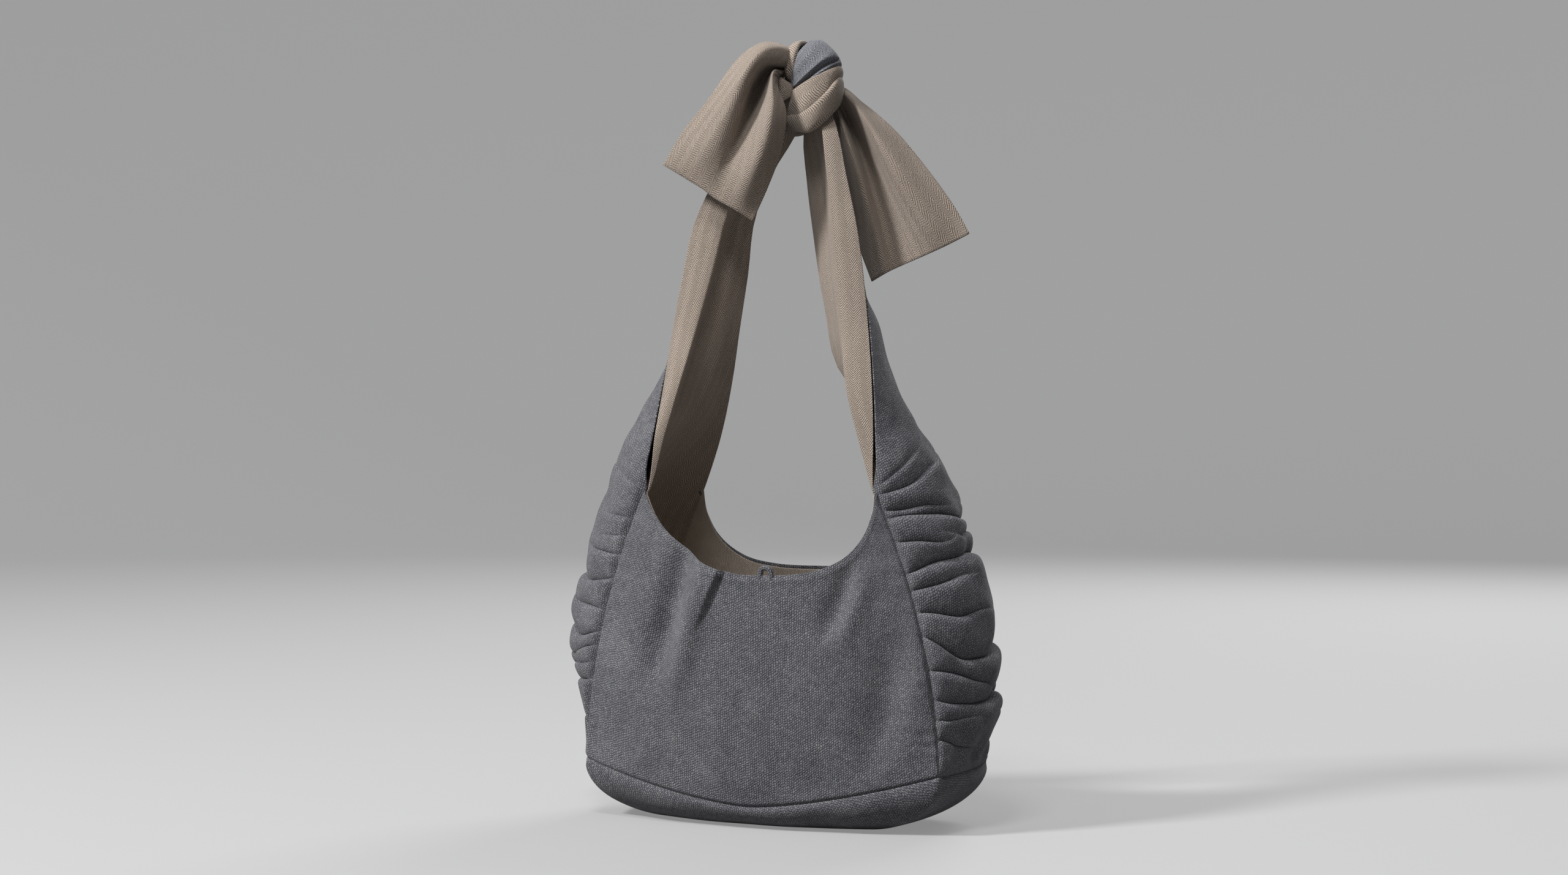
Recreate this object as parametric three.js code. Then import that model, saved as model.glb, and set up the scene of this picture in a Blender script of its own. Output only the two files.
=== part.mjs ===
// Cloth shoulder bag whose two straps are tied in a knot, in millimetres with +Z up.
// The origin is the middle of the base on the floor, and the front of the bag faces -Y.
import * as THREE from "three";

const { clamp, degToRad, lerp, smoothstep } = THREE.MathUtils;

// Cloth thicknesses, and the clearance that neighbouring pieces keep.
const TWEED = 1.8;
const LINING = 1.2;
const SEAM_GAP = 0.3;

// Body: four corner seams rise from the base seam to the mouth and lean inwards.
const BASE_HALF_WIDTH = 165;
const MOUTH_HALF_WIDTH = 107;
const SEAM_HALF_DEPTH = 59;
const SEAM_TAPER = 2.1;
const BASE_SEAM_MIDDLE = 19;
const BASE_SEAM_CORNER = 50;
const BASE_SEAM_CURVE = 1.5;
const MOUTH_CORNER_HEIGHT = 284;
const MOUTH_MIDDLE_HEIGHT = 213;
const MOUTH_CURVE_STEEP = 1.6;
const MOUTH_CURVE_ROUND = 3.6;

// How far the cloth stands out between two seams.
const PANEL_BULGE = 30;
const PANEL_BULGE_EDGE = 20;
const GUSSET_BULGE_BASE = 9;
const GUSSET_BULGE_TOP = 49;
const GUSSET_FULLNESS = 3.2;

// Gathers: the gussets' outer cloth hangs in puffs, one above the other, up to the mouth's corner.
const GATHER_START = 36;
const GATHER_PITCH = 25;
const GATHER_PUFF = 9;
const GATHER_SAG = 0.7;

// Base: flat where it rests, and rounded up to the base seam.
const BASE_FLAT_HALF_WIDTH = 87;
const BASE_FLAT_HALF_DEPTH = 44;

// Knot: a bunched core with two turns of strap round it.
const KNOT_X = 26;
const KNOT_BOTTOM = 589.6;
const KNOT_HEIGHT = 80.4;
const KNOT_CORE_RADIUS = 19;
const KNOT_RADIUS = 27;
const LOWER_TURN_HEIGHT = 38.4;
const UPPER_TURN_DROP = 5;
const KNOT_CROWN_HEIGHT = 10;
const TURN_ROUNDING = 4;

// Straps: the front part of each is folded outwards, so that its lining faces forward.
const STRAP_ROOT_TOP = 355;
const STRAP_FOLD_WIDTH = 30;
const STRAP_FOLD_WIDTH_TOP = 12;
const STRAP_FOLD_WIDTH_ROOT = 3;
const STRAP_BACK_INSET = 22;
const STRAP_BACK_INSET_TOP = 6;
const STRAP_TOP_HALF_SPREAD = 24;
const STRAP_TOP_FRONT = 18;
const STRAP_TOP_BACK = 10;
const LEFT_STRAP_BOW = 46;
const RIGHT_STRAP_BOW = 10;
const STRAP_FOLD_LEAN = 0.15;

// Where each strap's outer cloth starts to lose the gusset's bulge and where it is flat, and where the lining
// is flat, as shares of the strap's rise.
const LEFT_STRAP_FLATTENS = [0.2, 0.5];
const RIGHT_STRAP_FLATTENS = [0, 0.95];
const LINING_FLATTENS = 0.35;

// Tails: the free ends of the straps. Each hangs from a line on the knot's side, whose top is a drop
// below the knot's top, and its hem's corners are placed from there.
const LEFT_TAIL_ROOT_ANGLE = 220;
const LEFT_TAIL_ROOT_DROP = 6;
const LEFT_TAIL_ROOT_LENGTH = 42;
const LEFT_TAIL_OUTER_CORNER = new THREE.Vector3(-100, -27.5, -101);
const LEFT_TAIL_INNER_CORNER = new THREE.Vector3(-26, -17.5, -157);
const RIGHT_TAIL_ROOT_ANGLE = 20;
const RIGHT_TAIL_ROOT_DROP = 30;
const RIGHT_TAIL_ROOT_LENGTH = 38;
const RIGHT_TAIL_OUTER_CORNER = new THREE.Vector3(108.3, 5.7, -139);
const RIGHT_TAIL_INNER_CORNER = new THREE.Vector3(21.3, 10.7, -177);
const TAIL_BOW = 10;
const TAIL_ARCH = 7;
const TAIL_FOLD = 9;

// Closure: a cord loop on the front edge of the mouth and a button inside the back.
const CLOSURE_X = 20;
const LOOP_WIDTH = 15.5;
const LOOP_HEIGHT = 9.5;
const LOOP_CORD = 3;
const LOOP_SEAT_GAP = 0.7;
const BUTTON_RADIUS = 8;
const BUTTON_THICKNESS = 4;
const BUTTON_SHANK_RADIUS = 2;
const BUTTON_SHANK_LENGTH = 3.5;
const BUTTON_DROP = 20;

// Mesh density.
const PANEL_COLUMNS = 14;
const GUSSET_COLUMNS = 8;
const BODY_ROWS = 9;
const GATHER_ROWS = 3;
const BASE_RINGS = 4;
const STRAP_FOLD_COLUMNS = 2;
const STRAP_BACK_COLUMNS = 6;
const STRAP_ROOT_ROWS = 5;
const STRAP_ROWS = 10;
const TAIL_COLUMNS = 10;
const TAIL_ROWS = 7;
const ROUND_SEGMENTS = 24;
const LOOP_STEPS = 14;
const LOOP_SIDES = 8;

// Layers through the cloth, as depths below the outer face.
const OUTER_LAYER = [0, TWEED];
const LINING_LAYER = [TWEED + SEAM_GAP, TWEED + SEAM_GAP + LINING];
const CLOTH_DEPTH = TWEED + SEAM_GAP + LINING;
const CORNER_INSET = SEAM_GAP * Math.SQRT1_2;

const KNOT_TOP = KNOT_BOTTOM + KNOT_HEIGHT;

const FRONT = -1;
const BACK = 1;
const LEFT = -1;
const RIGHT = 1;

const TWEED_FINISH = { color: 0x62646b, roughness: 0.95, metalness: 0 };
const LINING_FINISH = { color: 0xb3a698, roughness: 0.9, metalness: 0 };
const BUTTON_FINISH = { color: 0x3c3f46, roughness: 0.7, metalness: 0 };

const bag = new THREE.Group();

function addPiece(name, geometry, finish) {
  const piece = new THREE.Mesh(geometry, new THREE.MeshStandardMaterial(finish));
  piece.name = name;
  bag.add(piece);
  return piece;
}

// A solid from points and triangles, with its faces turned outwards.
function solidGeometry(points, triangles) {
  const volume = triangles.reduce((sum, [a, b, c]) => {
    const normal = new THREE.Vector3().crossVectors(points[b], points[c]);
    return sum + points[a].dot(normal);
  }, 0);
  const facing = volume < 0 ? triangles.map(([a, b, c]) => [a, c, b]) : triangles;
  const geometry = new THREE.BufferGeometry().setFromPoints(points);
  geometry.setIndex(facing.flat());
  geometry.computeVertexNormals();
  return geometry;
}

// A sheet of cloth: a grid of points at two depths, joined by a rim on its four edges.
// place(across, along, depth) gives a point, with across and along from 0 to 1.
function sheetGeometry(columns, rows, place, [near, far]) {
  const points = [];
  const triangles = [];
  const quad = (a, b, c, d) => triangles.push([a, b, c], [a, c, d]);
  for (const depth of [near, far]) {
    for (let row = 0; row <= rows; row++) {
      for (let column = 0; column <= columns; column++) {
        points.push(place(column / columns, row / rows, depth));
      }
    }
  }
  const faceSize = (rows + 1) * (columns + 1);
  const front = (row, column) => row * (columns + 1) + column;
  const back = (row, column) => faceSize + front(row, column);
  for (let row = 0; row < rows; row++) {
    for (let column = 0; column < columns; column++) {
      quad(front(row, column), front(row, column + 1), front(row + 1, column + 1), front(row + 1, column));
      quad(back(row, column), back(row + 1, column), back(row + 1, column + 1), back(row, column + 1));
    }
    quad(front(row, 0), front(row + 1, 0), back(row + 1, 0), back(row, 0));
    quad(front(row + 1, columns), front(row, columns), back(row, columns), back(row + 1, columns));
  }
  for (let column = 0; column < columns; column++) {
    quad(front(0, column + 1), front(0, column), back(0, column), back(0, column + 1));
    quad(front(rows, column), front(rows, column + 1), back(rows, column + 1), back(rows, column));
  }
  return solidGeometry(points, triangles);
}

// A dish: two faces of closed rings, from the middle to the rim, joined along the rim.
function dishGeometry(faces) {
  const size = faces[0][0].length;
  const depth = faces[0].length;
  const points = faces.flat(2);
  const triangles = [];
  const middle = (ring) => ring.reduce((sum, p) => sum.add(p), new THREE.Vector3()).divideScalar(size);
  const [nearMiddle, farMiddle] = faces.map((face) => points.push(middle(face[0])) - 1);
  const near = (ring, i) => ring * size + (i % size);
  const far = (ring, i) => (depth + ring) * size + (i % size);
  for (let i = 0; i < size; i++) {
    for (let ring = 0; ring + 1 < depth; ring++) {
      triangles.push([near(ring, i), near(ring, i + 1), near(ring + 1, i + 1)]);
      triangles.push([near(ring, i), near(ring + 1, i + 1), near(ring + 1, i)]);
      triangles.push([far(ring, i), far(ring + 1, i + 1), far(ring, i + 1)]);
      triangles.push([far(ring, i), far(ring + 1, i), far(ring + 1, i + 1)]);
    }
    triangles.push([nearMiddle, near(0, i + 1), near(0, i)]);
    triangles.push([farMiddle, far(0, i), far(0, i + 1)]);
    triangles.push([near(depth - 1, i), near(depth - 1, i + 1), far(depth - 1, i + 1)]);
    triangles.push([near(depth - 1, i), far(depth - 1, i + 1), far(depth - 1, i)]);
  }
  return solidGeometry(points, triangles);
}

// A turned solid: the profile's points are a radius and a height, round the vertical axis.
function turnedGeometry(profile) {
  const outline = profile.map(([radius, height]) => new THREE.Vector2(radius, height));
  return new THREE.LatheGeometry(outline, ROUND_SEGMENTS).rotateX(Math.PI / 2);
}

// The body's shape.
const riseShare = (z, low) => clamp((z - low) / (MOUTH_CORNER_HEIGHT - low), 0, 1);

function seamHalfWidth(z) {
  return lerp(BASE_HALF_WIDTH, MOUTH_HALF_WIDTH, riseShare(z, BASE_SEAM_MIDDLE) ** SEAM_TAPER);
}

function panelBulge(z) {
  return lerp(PANEL_BULGE_EDGE, PANEL_BULGE, Math.sin(Math.PI * riseShare(z, BASE_SEAM_MIDDLE)));
}

function gussetBulge(z) {
  const slack = (1 - riseShare(z, BASE_SEAM_CORNER)) ** GUSSET_FULLNESS;
  return lerp(GUSSET_BULGE_TOP, GUSSET_BULGE_BASE, slack);
}

function baseSeamHeight(u) {
  return lerp(BASE_SEAM_MIDDLE, BASE_SEAM_CORNER, Math.abs(u) ** BASE_SEAM_CURVE);
}

function mouthHeight(side, u) {
  const curve = side === FRONT && u < 0 ? MOUTH_CURVE_STEEP : MOUTH_CURVE_ROUND;
  return lerp(MOUTH_MIDDLE_HEIGHT, MOUTH_CORNER_HEIGHT, Math.abs(u) ** curve);
}

// Points of the front or back panel, and of the left or right gusset: u runs from -1 to 1 between seams.
function panelPoint(side, u, z, depth) {
  const x = u * (seamHalfWidth(z) - depth - CORNER_INSET);
  const y = side * (SEAM_HALF_DEPTH - depth + panelBulge(z) * (1 - u * u));
  return new THREE.Vector3(x, y, z);
}

function gussetPoint(side, u, z, depth) {
  const x = side * (seamHalfWidth(z) - depth + gussetBulge(z) * (1 - u * u));
  const y = u * (SEAM_HALF_DEPTH - depth - CORNER_INSET);
  return new THREE.Vector3(x, y, z);
}

function panelGeometry(side, layer) {
  const place = (across, along, depth) => {
    const u = 2 * across - 1;
    const z = lerp(baseSeamHeight(u) + SEAM_GAP, mouthHeight(side, u), along);
    return panelPoint(side, u, z, depth);
  };
  return sheetGeometry(PANEL_COLUMNS, BODY_ROWS, place, layer);
}

// The gussets' outer cloth is gathered: each puff is fullest below its middle and is held flat at the seams.
const GATHER_LOW = BASE_SEAM_CORNER + GATHER_START;
const GATHER_COUNT = Math.max(1, Math.round((MOUTH_CORNER_HEIGHT - GATHER_LOW) / GATHER_PITCH));

function gatherRelief(u, z) {
  const puffs = riseShare(z, GATHER_LOW) * GATHER_COUNT;
  const share = puffs - Math.floor(puffs);
  return GATHER_PUFF * Math.sin(Math.PI * share ** GATHER_SAG) * (1 - u ** 4);
}

function gussetHeights() {
  const bottom = BASE_SEAM_CORNER + SEAM_GAP;
  const steps = GATHER_COUNT * GATHER_ROWS;
  const height = (_, i) => lerp(GATHER_LOW, MOUTH_CORNER_HEIGHT, i / steps);
  return [bottom, (bottom + GATHER_LOW) / 2, ...Array.from({ length: steps + 1 }, height)];
}

function gussetGeometry(side, layer) {
  const heights = gussetHeights();
  const rows = heights.length - 1;
  const place = (across, along, depth) => {
    const u = 2 * across - 1;
    const z = heights[Math.round(along * rows)];
    const point = gussetPoint(side, u, z, depth);
    if (layer === OUTER_LAYER) {
      point.x += side * gatherRelief(u, z);
    }
    return point;
  };
  return sheetGeometry(GUSSET_COLUMNS, rows, place, layer);
}

// The base seam as one closed ring, counter-clockwise from the left end of the front panel.
function baseSeamRing(depth) {
  const steps = (count) => Array.from({ length: count + 1 }, (_, i) => (2 * i) / count - 1);
  const panel = (side, u) => panelPoint(side, u, baseSeamHeight(u), depth);
  const gusset = (side, u) => gussetPoint(side, u, BASE_SEAM_CORNER, depth);
  return [
    ...steps(PANEL_COLUMNS).map((u) => panel(FRONT, u)),
    ...steps(GUSSET_COLUMNS).map((u) => gusset(RIGHT, u)),
    ...steps(PANEL_COLUMNS).map((u) => panel(BACK, -u)),
    ...steps(GUSSET_COLUMNS).map((u) => gusset(LEFT, -u)),
  ];
}

function baseGeometry([near, far]) {
  const outline = baseSeamRing(0);
  const reachX = Math.max(...outline.map((p) => p.x));
  const reachY = Math.max(...outline.map((p) => p.y));
  const ringAt = (seam, depth, share) => {
    const out = Math.sin((share * Math.PI) / 2);
    const up = 1 - Math.cos((share * Math.PI) / 2);
    return seam.map((p, i) => {
      const flatX = (outline[i].x * BASE_FLAT_HALF_WIDTH) / reachX;
      const flatY = (outline[i].y * BASE_FLAT_HALF_DEPTH) / reachY;
      return new THREE.Vector3(lerp(flatX, p.x, out), lerp(flatY, p.y, out), lerp(depth, p.z, up));
    });
  };
  const face = (depth) => {
    const seam = baseSeamRing(depth);
    return Array.from({ length: BASE_RINGS + 1 }, (_, i) => ringAt(seam, depth, i / BASE_RINGS));
  };
  return dishGeometry([face(near), face(far)]);
}

// The straps: each section of the lining is a short front leg, folded outwards, and a back leg. The outer
// cloth spans it with the gusset's bulge low down, and lies on it higher up. rise runs from 0 at the mouth
// to 1 under the knot.
const STRAP_START = MOUTH_CORNER_HEIGHT + SEAM_GAP;
const STRAP_END = KNOT_BOTTOM - SEAM_GAP;
const FOLD_SHARE = STRAP_FOLD_COLUMNS / (STRAP_FOLD_COLUMNS + STRAP_BACK_COLUMNS);
const strapRise = (z) => (z - STRAP_START) / (STRAP_END - STRAP_START);

// The strap's front edge, the crease of its fold and its back edge, at one height.
function strapEdges(side, rise) {
  const bow = side === LEFT ? LEFT_STRAP_BOW : RIGHT_STRAP_BOW;
  const gather = smoothstep(rise, 0.75, 1);
  const drawIn = smoothstep(rise, 0, 0.6);
  const open = smoothstep(rise, 0, 0.45);
  const topX = KNOT_X + side * STRAP_TOP_HALF_SPREAD;
  const edgeX = lerp(side * MOUTH_HALF_WIDTH, topX, rise) + side * bow * Math.sin(Math.PI * rise ** 1.3);
  const edgeY = lerp(-SEAM_HALF_DEPTH, -STRAP_TOP_FRONT, drawIn);
  const backY = lerp(SEAM_HALF_DEPTH, STRAP_TOP_BACK, drawIn);
  const fold = lerp(lerp(STRAP_FOLD_WIDTH_ROOT, STRAP_FOLD_WIDTH, open), STRAP_FOLD_WIDTH_TOP, gather);
  const inset = lerp(STRAP_BACK_INSET * open, STRAP_BACK_INSET_TOP, gather);
  const front = new THREE.Vector2(edgeX, edgeY);
  const crease = new THREE.Vector2(edgeX - side * fold, edgeY + fold * STRAP_FOLD_LEAN);
  const back = new THREE.Vector2(crease.x - side * inset, backY);
  return { front, crease, back };
}

// A point between two others, pushed outwards by a bulge that is fullest halfway.
function bulgedPoint(side, from, to, share, bulge) {
  const out = new THREE.Vector2(to.y - from.y, from.x - to.x).normalize();
  return from.clone().lerp(to, share).addScaledVector(out, side * bulge * 4 * share * (1 - share));
}

function foldedFace(side, across, rise) {
  const { front, crease, back } = strapEdges(side, rise);
  if (across <= FOLD_SHARE) {
    return front.lerp(crease, across / FOLD_SHARE);
  }
  const bulge = GUSSET_BULGE_TOP * (1 - smoothstep(rise, 0, LINING_FLATTENS));
  return bulgedPoint(side, crease, back, (across - FOLD_SHARE) / (1 - FOLD_SHARE), bulge);
}

function swollenFace(side, across, rise) {
  const { front, back } = strapEdges(side, rise);
  const flattens = side === LEFT ? LEFT_STRAP_FLATTENS : RIGHT_STRAP_FLATTENS;
  const swollen = bulgedPoint(side, front, back, across, GUSSET_BULGE_TOP);
  return swollen.lerp(foldedFace(side, across, rise), smoothstep(rise, ...flattens));
}

function strapGeometry(side, low, high, rows, layer) {
  const face = layer === OUTER_LAYER ? swollenFace : foldedFace;
  const step = 0.02;
  const place = (across, along, depth) => {
    const rise = lerp(strapRise(low), strapRise(high), along);
    const before = face(side, Math.max(across - step, 0), rise);
    const run = face(side, Math.min(across + step, 1), rise).sub(before).normalize();
    const point = face(side, across, rise);
    const x = point.x - side * run.y * depth;
    const y = point.y + side * run.x * depth;
    return new THREE.Vector3(x, y, lerp(low, high, along));
  };
  return sheetGeometry(STRAP_FOLD_COLUMNS + STRAP_BACK_COLUMNS, rows, place, layer);
}

// The knot: the core carries the crown of the bunched strap, and each turn is a rounded band round it.
function knotCoreGeometry() {
  const shoulder = KNOT_TOP - KNOT_CROWN_HEIGHT;
  const crown = [0, 0.25, 0.5, 0.75, 1].map((share) => {
    const angle = (share * Math.PI) / 2;
    return [KNOT_CORE_RADIUS * Math.cos(angle), shoulder + KNOT_CROWN_HEIGHT * Math.sin(angle)];
  });
  crown.at(-1)[0] = 0;
  return turnedGeometry([[0, KNOT_BOTTOM], [KNOT_CORE_RADIUS, KNOT_BOTTOM], ...crown]);
}

function knotTurnGeometry(low, high) {
  const bore = KNOT_CORE_RADIUS + SEAM_GAP;
  const middle = (low + high) / 2;
  const shoulder = KNOT_RADIUS - TURN_ROUNDING;
  return turnedGeometry([
    [bore, low],
    [shoulder, low],
    [KNOT_RADIUS - TURN_ROUNDING / 4, lerp(low, middle, 0.4)],
    [KNOT_RADIUS, middle],
    [KNOT_RADIUS - TURN_ROUNDING / 4, lerp(high, middle, 0.4)],
    [shoulder, high],
    [bore, high],
    [bore, low],
  ]);
}

// A tail hangs from an upright root line on the knot's side, and flares to its hem.
function tailPoint(tail, across, along) {
  const angle = degToRad(tail.rootAngle);
  const reach = KNOT_RADIUS + SEAM_GAP;
  const rootX = KNOT_X + reach * Math.cos(angle);
  const root = new THREE.Vector3(rootX, reach * Math.sin(angle), KNOT_TOP - tail.rootDrop);
  const hem = new THREE.Vector3().lerpVectors(tail.outerCorner, tail.innerCorner, across).add(root);
  root.z -= tail.rootLength * across;
  const point = new THREE.Vector3().lerpVectors(root, hem, along);
  const lift = Math.sin(Math.PI * along);
  const foldDepth = TAIL_FOLD * smoothstep(along, 0, 0.35) * (1 - along / 2);
  point.y -= TAIL_BOW * lift + foldDepth * Math.sin(2 * Math.PI * across);
  point.z += TAIL_ARCH * lift * (1 - across);
  return point;
}

// The way that a tail's cloth faces: round the knot at its root, and square to the cloth elsewhere.
function tailFacing(tail, across, along) {
  if (along === 0) {
    const angle = degToRad(tail.rootAngle);
    return new THREE.Vector3(Math.sin(angle), -Math.cos(angle), 0);
  }
  const step = 0.01;
  const side = tailPoint(tail, Math.min(across + step, 1), along);
  side.sub(tailPoint(tail, Math.max(across - step, 0), along));
  const down = tailPoint(tail, across, Math.min(along + step, 1));
  down.sub(tailPoint(tail, across, Math.max(along - step, 0)));
  return side.cross(down).normalize();
}

function tailGeometry(tail, layer) {
  const place = (across, along, depth) => {
    const facing = tailFacing(tail, across, along);
    return tailPoint(tail, across, along).addScaledVector(facing, tail.side * depth);
  };
  return sheetGeometry(TAIL_COLUMNS, TAIL_ROWS, place, layer);
}

// The closure's loop is a half ring of cord that stands on the front edge of the mouth.
function loopGeometry() {
  const halfSpan = (LOOP_WIDTH - LOOP_CORD) / 2;
  const height = LOOP_HEIGHT - LOOP_CORD / 2;
  const arch = Array.from({ length: LOOP_STEPS + 1 }, (_, i) => {
    const angle = (Math.PI * i) / LOOP_STEPS;
    return new THREE.Vector3(halfSpan * Math.cos(angle), 0, height * Math.sin(angle));
  });
  const section = new THREE.Shape().absarc(0, 0, LOOP_CORD / 2, 0, 2 * Math.PI);
  return new THREE.ExtrudeGeometry(section, {
    extrudePath: new THREE.CatmullRomCurve3(arch),
    steps: LOOP_STEPS,
    curveSegments: LOOP_SIDES,
  });
}

function buttonGeometry() {
  const face = BUTTON_SHANK_LENGTH + BUTTON_THICKNESS;
  const edge = BUTTON_THICKNESS / 4;
  return turnedGeometry([
    [0, 0],
    [BUTTON_SHANK_RADIUS, 0],
    [BUTTON_SHANK_RADIUS, BUTTON_SHANK_LENGTH],
    [BUTTON_RADIUS - edge, BUTTON_SHANK_LENGTH],
    [BUTTON_RADIUS, BUTTON_SHANK_LENGTH + edge],
    [BUTTON_RADIUS, face - edge],
    [BUTTON_RADIUS - edge, face],
    [0, face],
  ]);
}

// Assembly: body shells.
for (const [name, side] of [["front", FRONT], ["back", BACK]]) {
  addPiece(`${name}_panel`, panelGeometry(side, OUTER_LAYER), TWEED_FINISH);
  addPiece(`${name}_lining`, panelGeometry(side, LINING_LAYER), LINING_FINISH);
}
for (const [name, side] of [["left", LEFT], ["right", RIGHT]]) {
  addPiece(`${name}_gusset`, gussetGeometry(side, OUTER_LAYER), TWEED_FINISH);
  addPiece(`${name}_gusset_lining`, gussetGeometry(side, LINING_LAYER), LINING_FINISH);
}
addPiece("base_panel", baseGeometry(OUTER_LAYER), TWEED_FINISH);
addPiece("base_lining", baseGeometry(LINING_LAYER), LINING_FINISH);

// Assembly: straps, each a root that creases at the mouth and an upper part that reaches the knot.
for (const [name, side] of [["left", LEFT], ["right", RIGHT]]) {
  const root = [STRAP_START, STRAP_ROOT_TOP, STRAP_ROOT_ROWS];
  const upper = [STRAP_ROOT_TOP + SEAM_GAP, STRAP_END, STRAP_ROWS];
  addPiece(`${name}_strap_root`, strapGeometry(side, ...root, OUTER_LAYER), TWEED_FINISH);
  addPiece(`${name}_strap_root_lining`, strapGeometry(side, ...root, LINING_LAYER), LINING_FINISH);
  addPiece(`${name}_strap`, strapGeometry(side, ...upper, OUTER_LAYER), TWEED_FINISH);
  addPiece(`${name}_strap_lining`, strapGeometry(side, ...upper, LINING_LAYER), LINING_FINISH);
}

// Assembly: knot.
const turnSplit = KNOT_BOTTOM + LOWER_TURN_HEIGHT;
const turnTop = KNOT_TOP - UPPER_TURN_DROP;
const knotPieces = [
  addPiece("knot_core", knotCoreGeometry(), TWEED_FINISH),
  addPiece("knot_lower_turn", knotTurnGeometry(KNOT_BOTTOM, turnSplit), LINING_FINISH),
  addPiece("knot_upper_turn", knotTurnGeometry(turnSplit + SEAM_GAP, turnTop), LINING_FINISH),
];
for (const piece of knotPieces) {
  piece.position.x = KNOT_X;
}

// Assembly: tails.
const tails = {
  left: {
    side: LEFT,
    rootAngle: LEFT_TAIL_ROOT_ANGLE,
    rootDrop: LEFT_TAIL_ROOT_DROP,
    rootLength: LEFT_TAIL_ROOT_LENGTH,
    outerCorner: LEFT_TAIL_OUTER_CORNER,
    innerCorner: LEFT_TAIL_INNER_CORNER,
  },
  right: {
    side: RIGHT,
    rootAngle: RIGHT_TAIL_ROOT_ANGLE,
    rootDrop: RIGHT_TAIL_ROOT_DROP,
    rootLength: RIGHT_TAIL_ROOT_LENGTH,
    outerCorner: RIGHT_TAIL_OUTER_CORNER,
    innerCorner: RIGHT_TAIL_INNER_CORNER,
  },
};
for (const [name, tail] of Object.entries(tails)) {
  addPiece(`${name}_tail`, tailGeometry(tail, OUTER_LAYER), TWEED_FINISH);
  addPiece(`${name}_tail_lining`, tailGeometry(tail, LINING_LAYER), LINING_FINISH);
}

// Assembly: closure.
const closureShare = CLOSURE_X / seamHalfWidth(MOUTH_MIDDLE_HEIGHT);
const frontEdge = mouthHeight(FRONT, closureShare);
const loop = addPiece("closure_loop", loopGeometry(), TWEED_FINISH);
loop.position.copy(panelPoint(FRONT, closureShare, frontEdge, CLOTH_DEPTH / 2));
loop.position.z += LOOP_SEAT_GAP;
const buttonHeight = MOUTH_MIDDLE_HEIGHT - BUTTON_DROP;
const button = addPiece("closure_button", buttonGeometry(), BUTTON_FINISH);
button.position.copy(panelPoint(BACK, closureShare, buttonHeight, CLOTH_DEPTH + SEAM_GAP));
button.rotation.x = Math.PI / 2;

export default bag;
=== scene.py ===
# %% [markdown]
# # A tied tweed bag, dressed over its CAD frame
# The bag is soft: two tweed panels, two gathered side gussets that rise into straps, a knot and a
# lining. The imported CAD model is the frame. It holds the sizes and the joints, and every cloth piece
# made here stands for one or more of its plain solids. The panels, the base, the knot and the button
# move with its bodies.

# %% Load the frame
import math

import bmesh
import bpy
import numpy as np
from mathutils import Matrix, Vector


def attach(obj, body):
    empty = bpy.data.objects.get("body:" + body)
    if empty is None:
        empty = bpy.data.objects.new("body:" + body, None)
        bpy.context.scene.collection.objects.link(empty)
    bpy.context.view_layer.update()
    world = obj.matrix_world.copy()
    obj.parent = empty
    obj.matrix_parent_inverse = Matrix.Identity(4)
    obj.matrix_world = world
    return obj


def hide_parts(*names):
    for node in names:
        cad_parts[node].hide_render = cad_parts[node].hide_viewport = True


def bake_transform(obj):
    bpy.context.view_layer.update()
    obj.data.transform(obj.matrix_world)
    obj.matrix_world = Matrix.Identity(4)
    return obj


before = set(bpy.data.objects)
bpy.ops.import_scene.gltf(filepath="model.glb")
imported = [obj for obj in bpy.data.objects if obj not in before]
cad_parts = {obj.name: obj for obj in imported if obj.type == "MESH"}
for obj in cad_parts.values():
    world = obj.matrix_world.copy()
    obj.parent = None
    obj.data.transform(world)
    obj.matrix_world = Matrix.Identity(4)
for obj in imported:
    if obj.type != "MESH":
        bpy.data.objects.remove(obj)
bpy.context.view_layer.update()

# %% [markdown]
# ## Small helpers for shapes
# Cloth is easiest to shape as a grid of points that a formula moves, so these helpers work on whole
# arrays at once. All shapes are written in millimetres, as a pattern cutter would, and become metres in
# the mesh.

# %% Shape helpers
MM = 0.001


def lerp(a, b, share):
    return a + (b - a) * share


def smooth(value, low, high):
    share = np.clip((value - low) / (high - low), 0, 1)
    return share * share * (3 - 2 * share)


def bell(distance, breadth):
    """1 at no distance, falling softly to 0 beyond the breadth."""
    return np.exp(-((distance / breadth) ** 2))


def spline(places, values, at):
    """A smooth curve through values at places, read at the places in at."""
    places, values = np.asarray(places, float), np.asarray(values, float)
    slopes = np.gradient(values, places, axis=0)
    at = np.clip(at, places[0], places[-1])
    i = np.clip(np.searchsorted(places, at, side="right") - 1, 0, len(places) - 2)
    span = places[i + 1] - places[i]
    t = (at - places[i]) / span
    shape = t.shape + (1,) * (values.ndim - 1)
    t, span = t.reshape(shape), span.reshape(shape)
    start, end = values[i], values[i + 1]
    rise = (2 * t**3 - 3 * t**2 + 1) * start + (3 * t**2 - 2 * t**3) * end
    return rise + span * ((t**3 - 2 * t**2 + t) * slopes[i] + (t**3 - t**2) * slopes[i + 1])


RIPPLE_WAVES, RIPPLE_LEVEL = 7, 3.2


def ripple(a, b, length, seed):
    """Soft unevenness between about -1 and 1, with waves of about that length."""
    draw = np.random.default_rng(seed)
    total = 0
    for _ in range(RIPPLE_WAVES):
        turn, phase, scale = draw.uniform(0, 2 * np.pi), draw.uniform(0, 2 * np.pi), draw.uniform(0.6, 1.5)
        total = total + np.sin(2 * np.pi * scale * (a * np.cos(turn) + b * np.sin(turn)) / length + phase)
    return total / RIPPLE_LEVEL


print("Shape helpers ready, in millimetres of", MM, "m")

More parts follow.
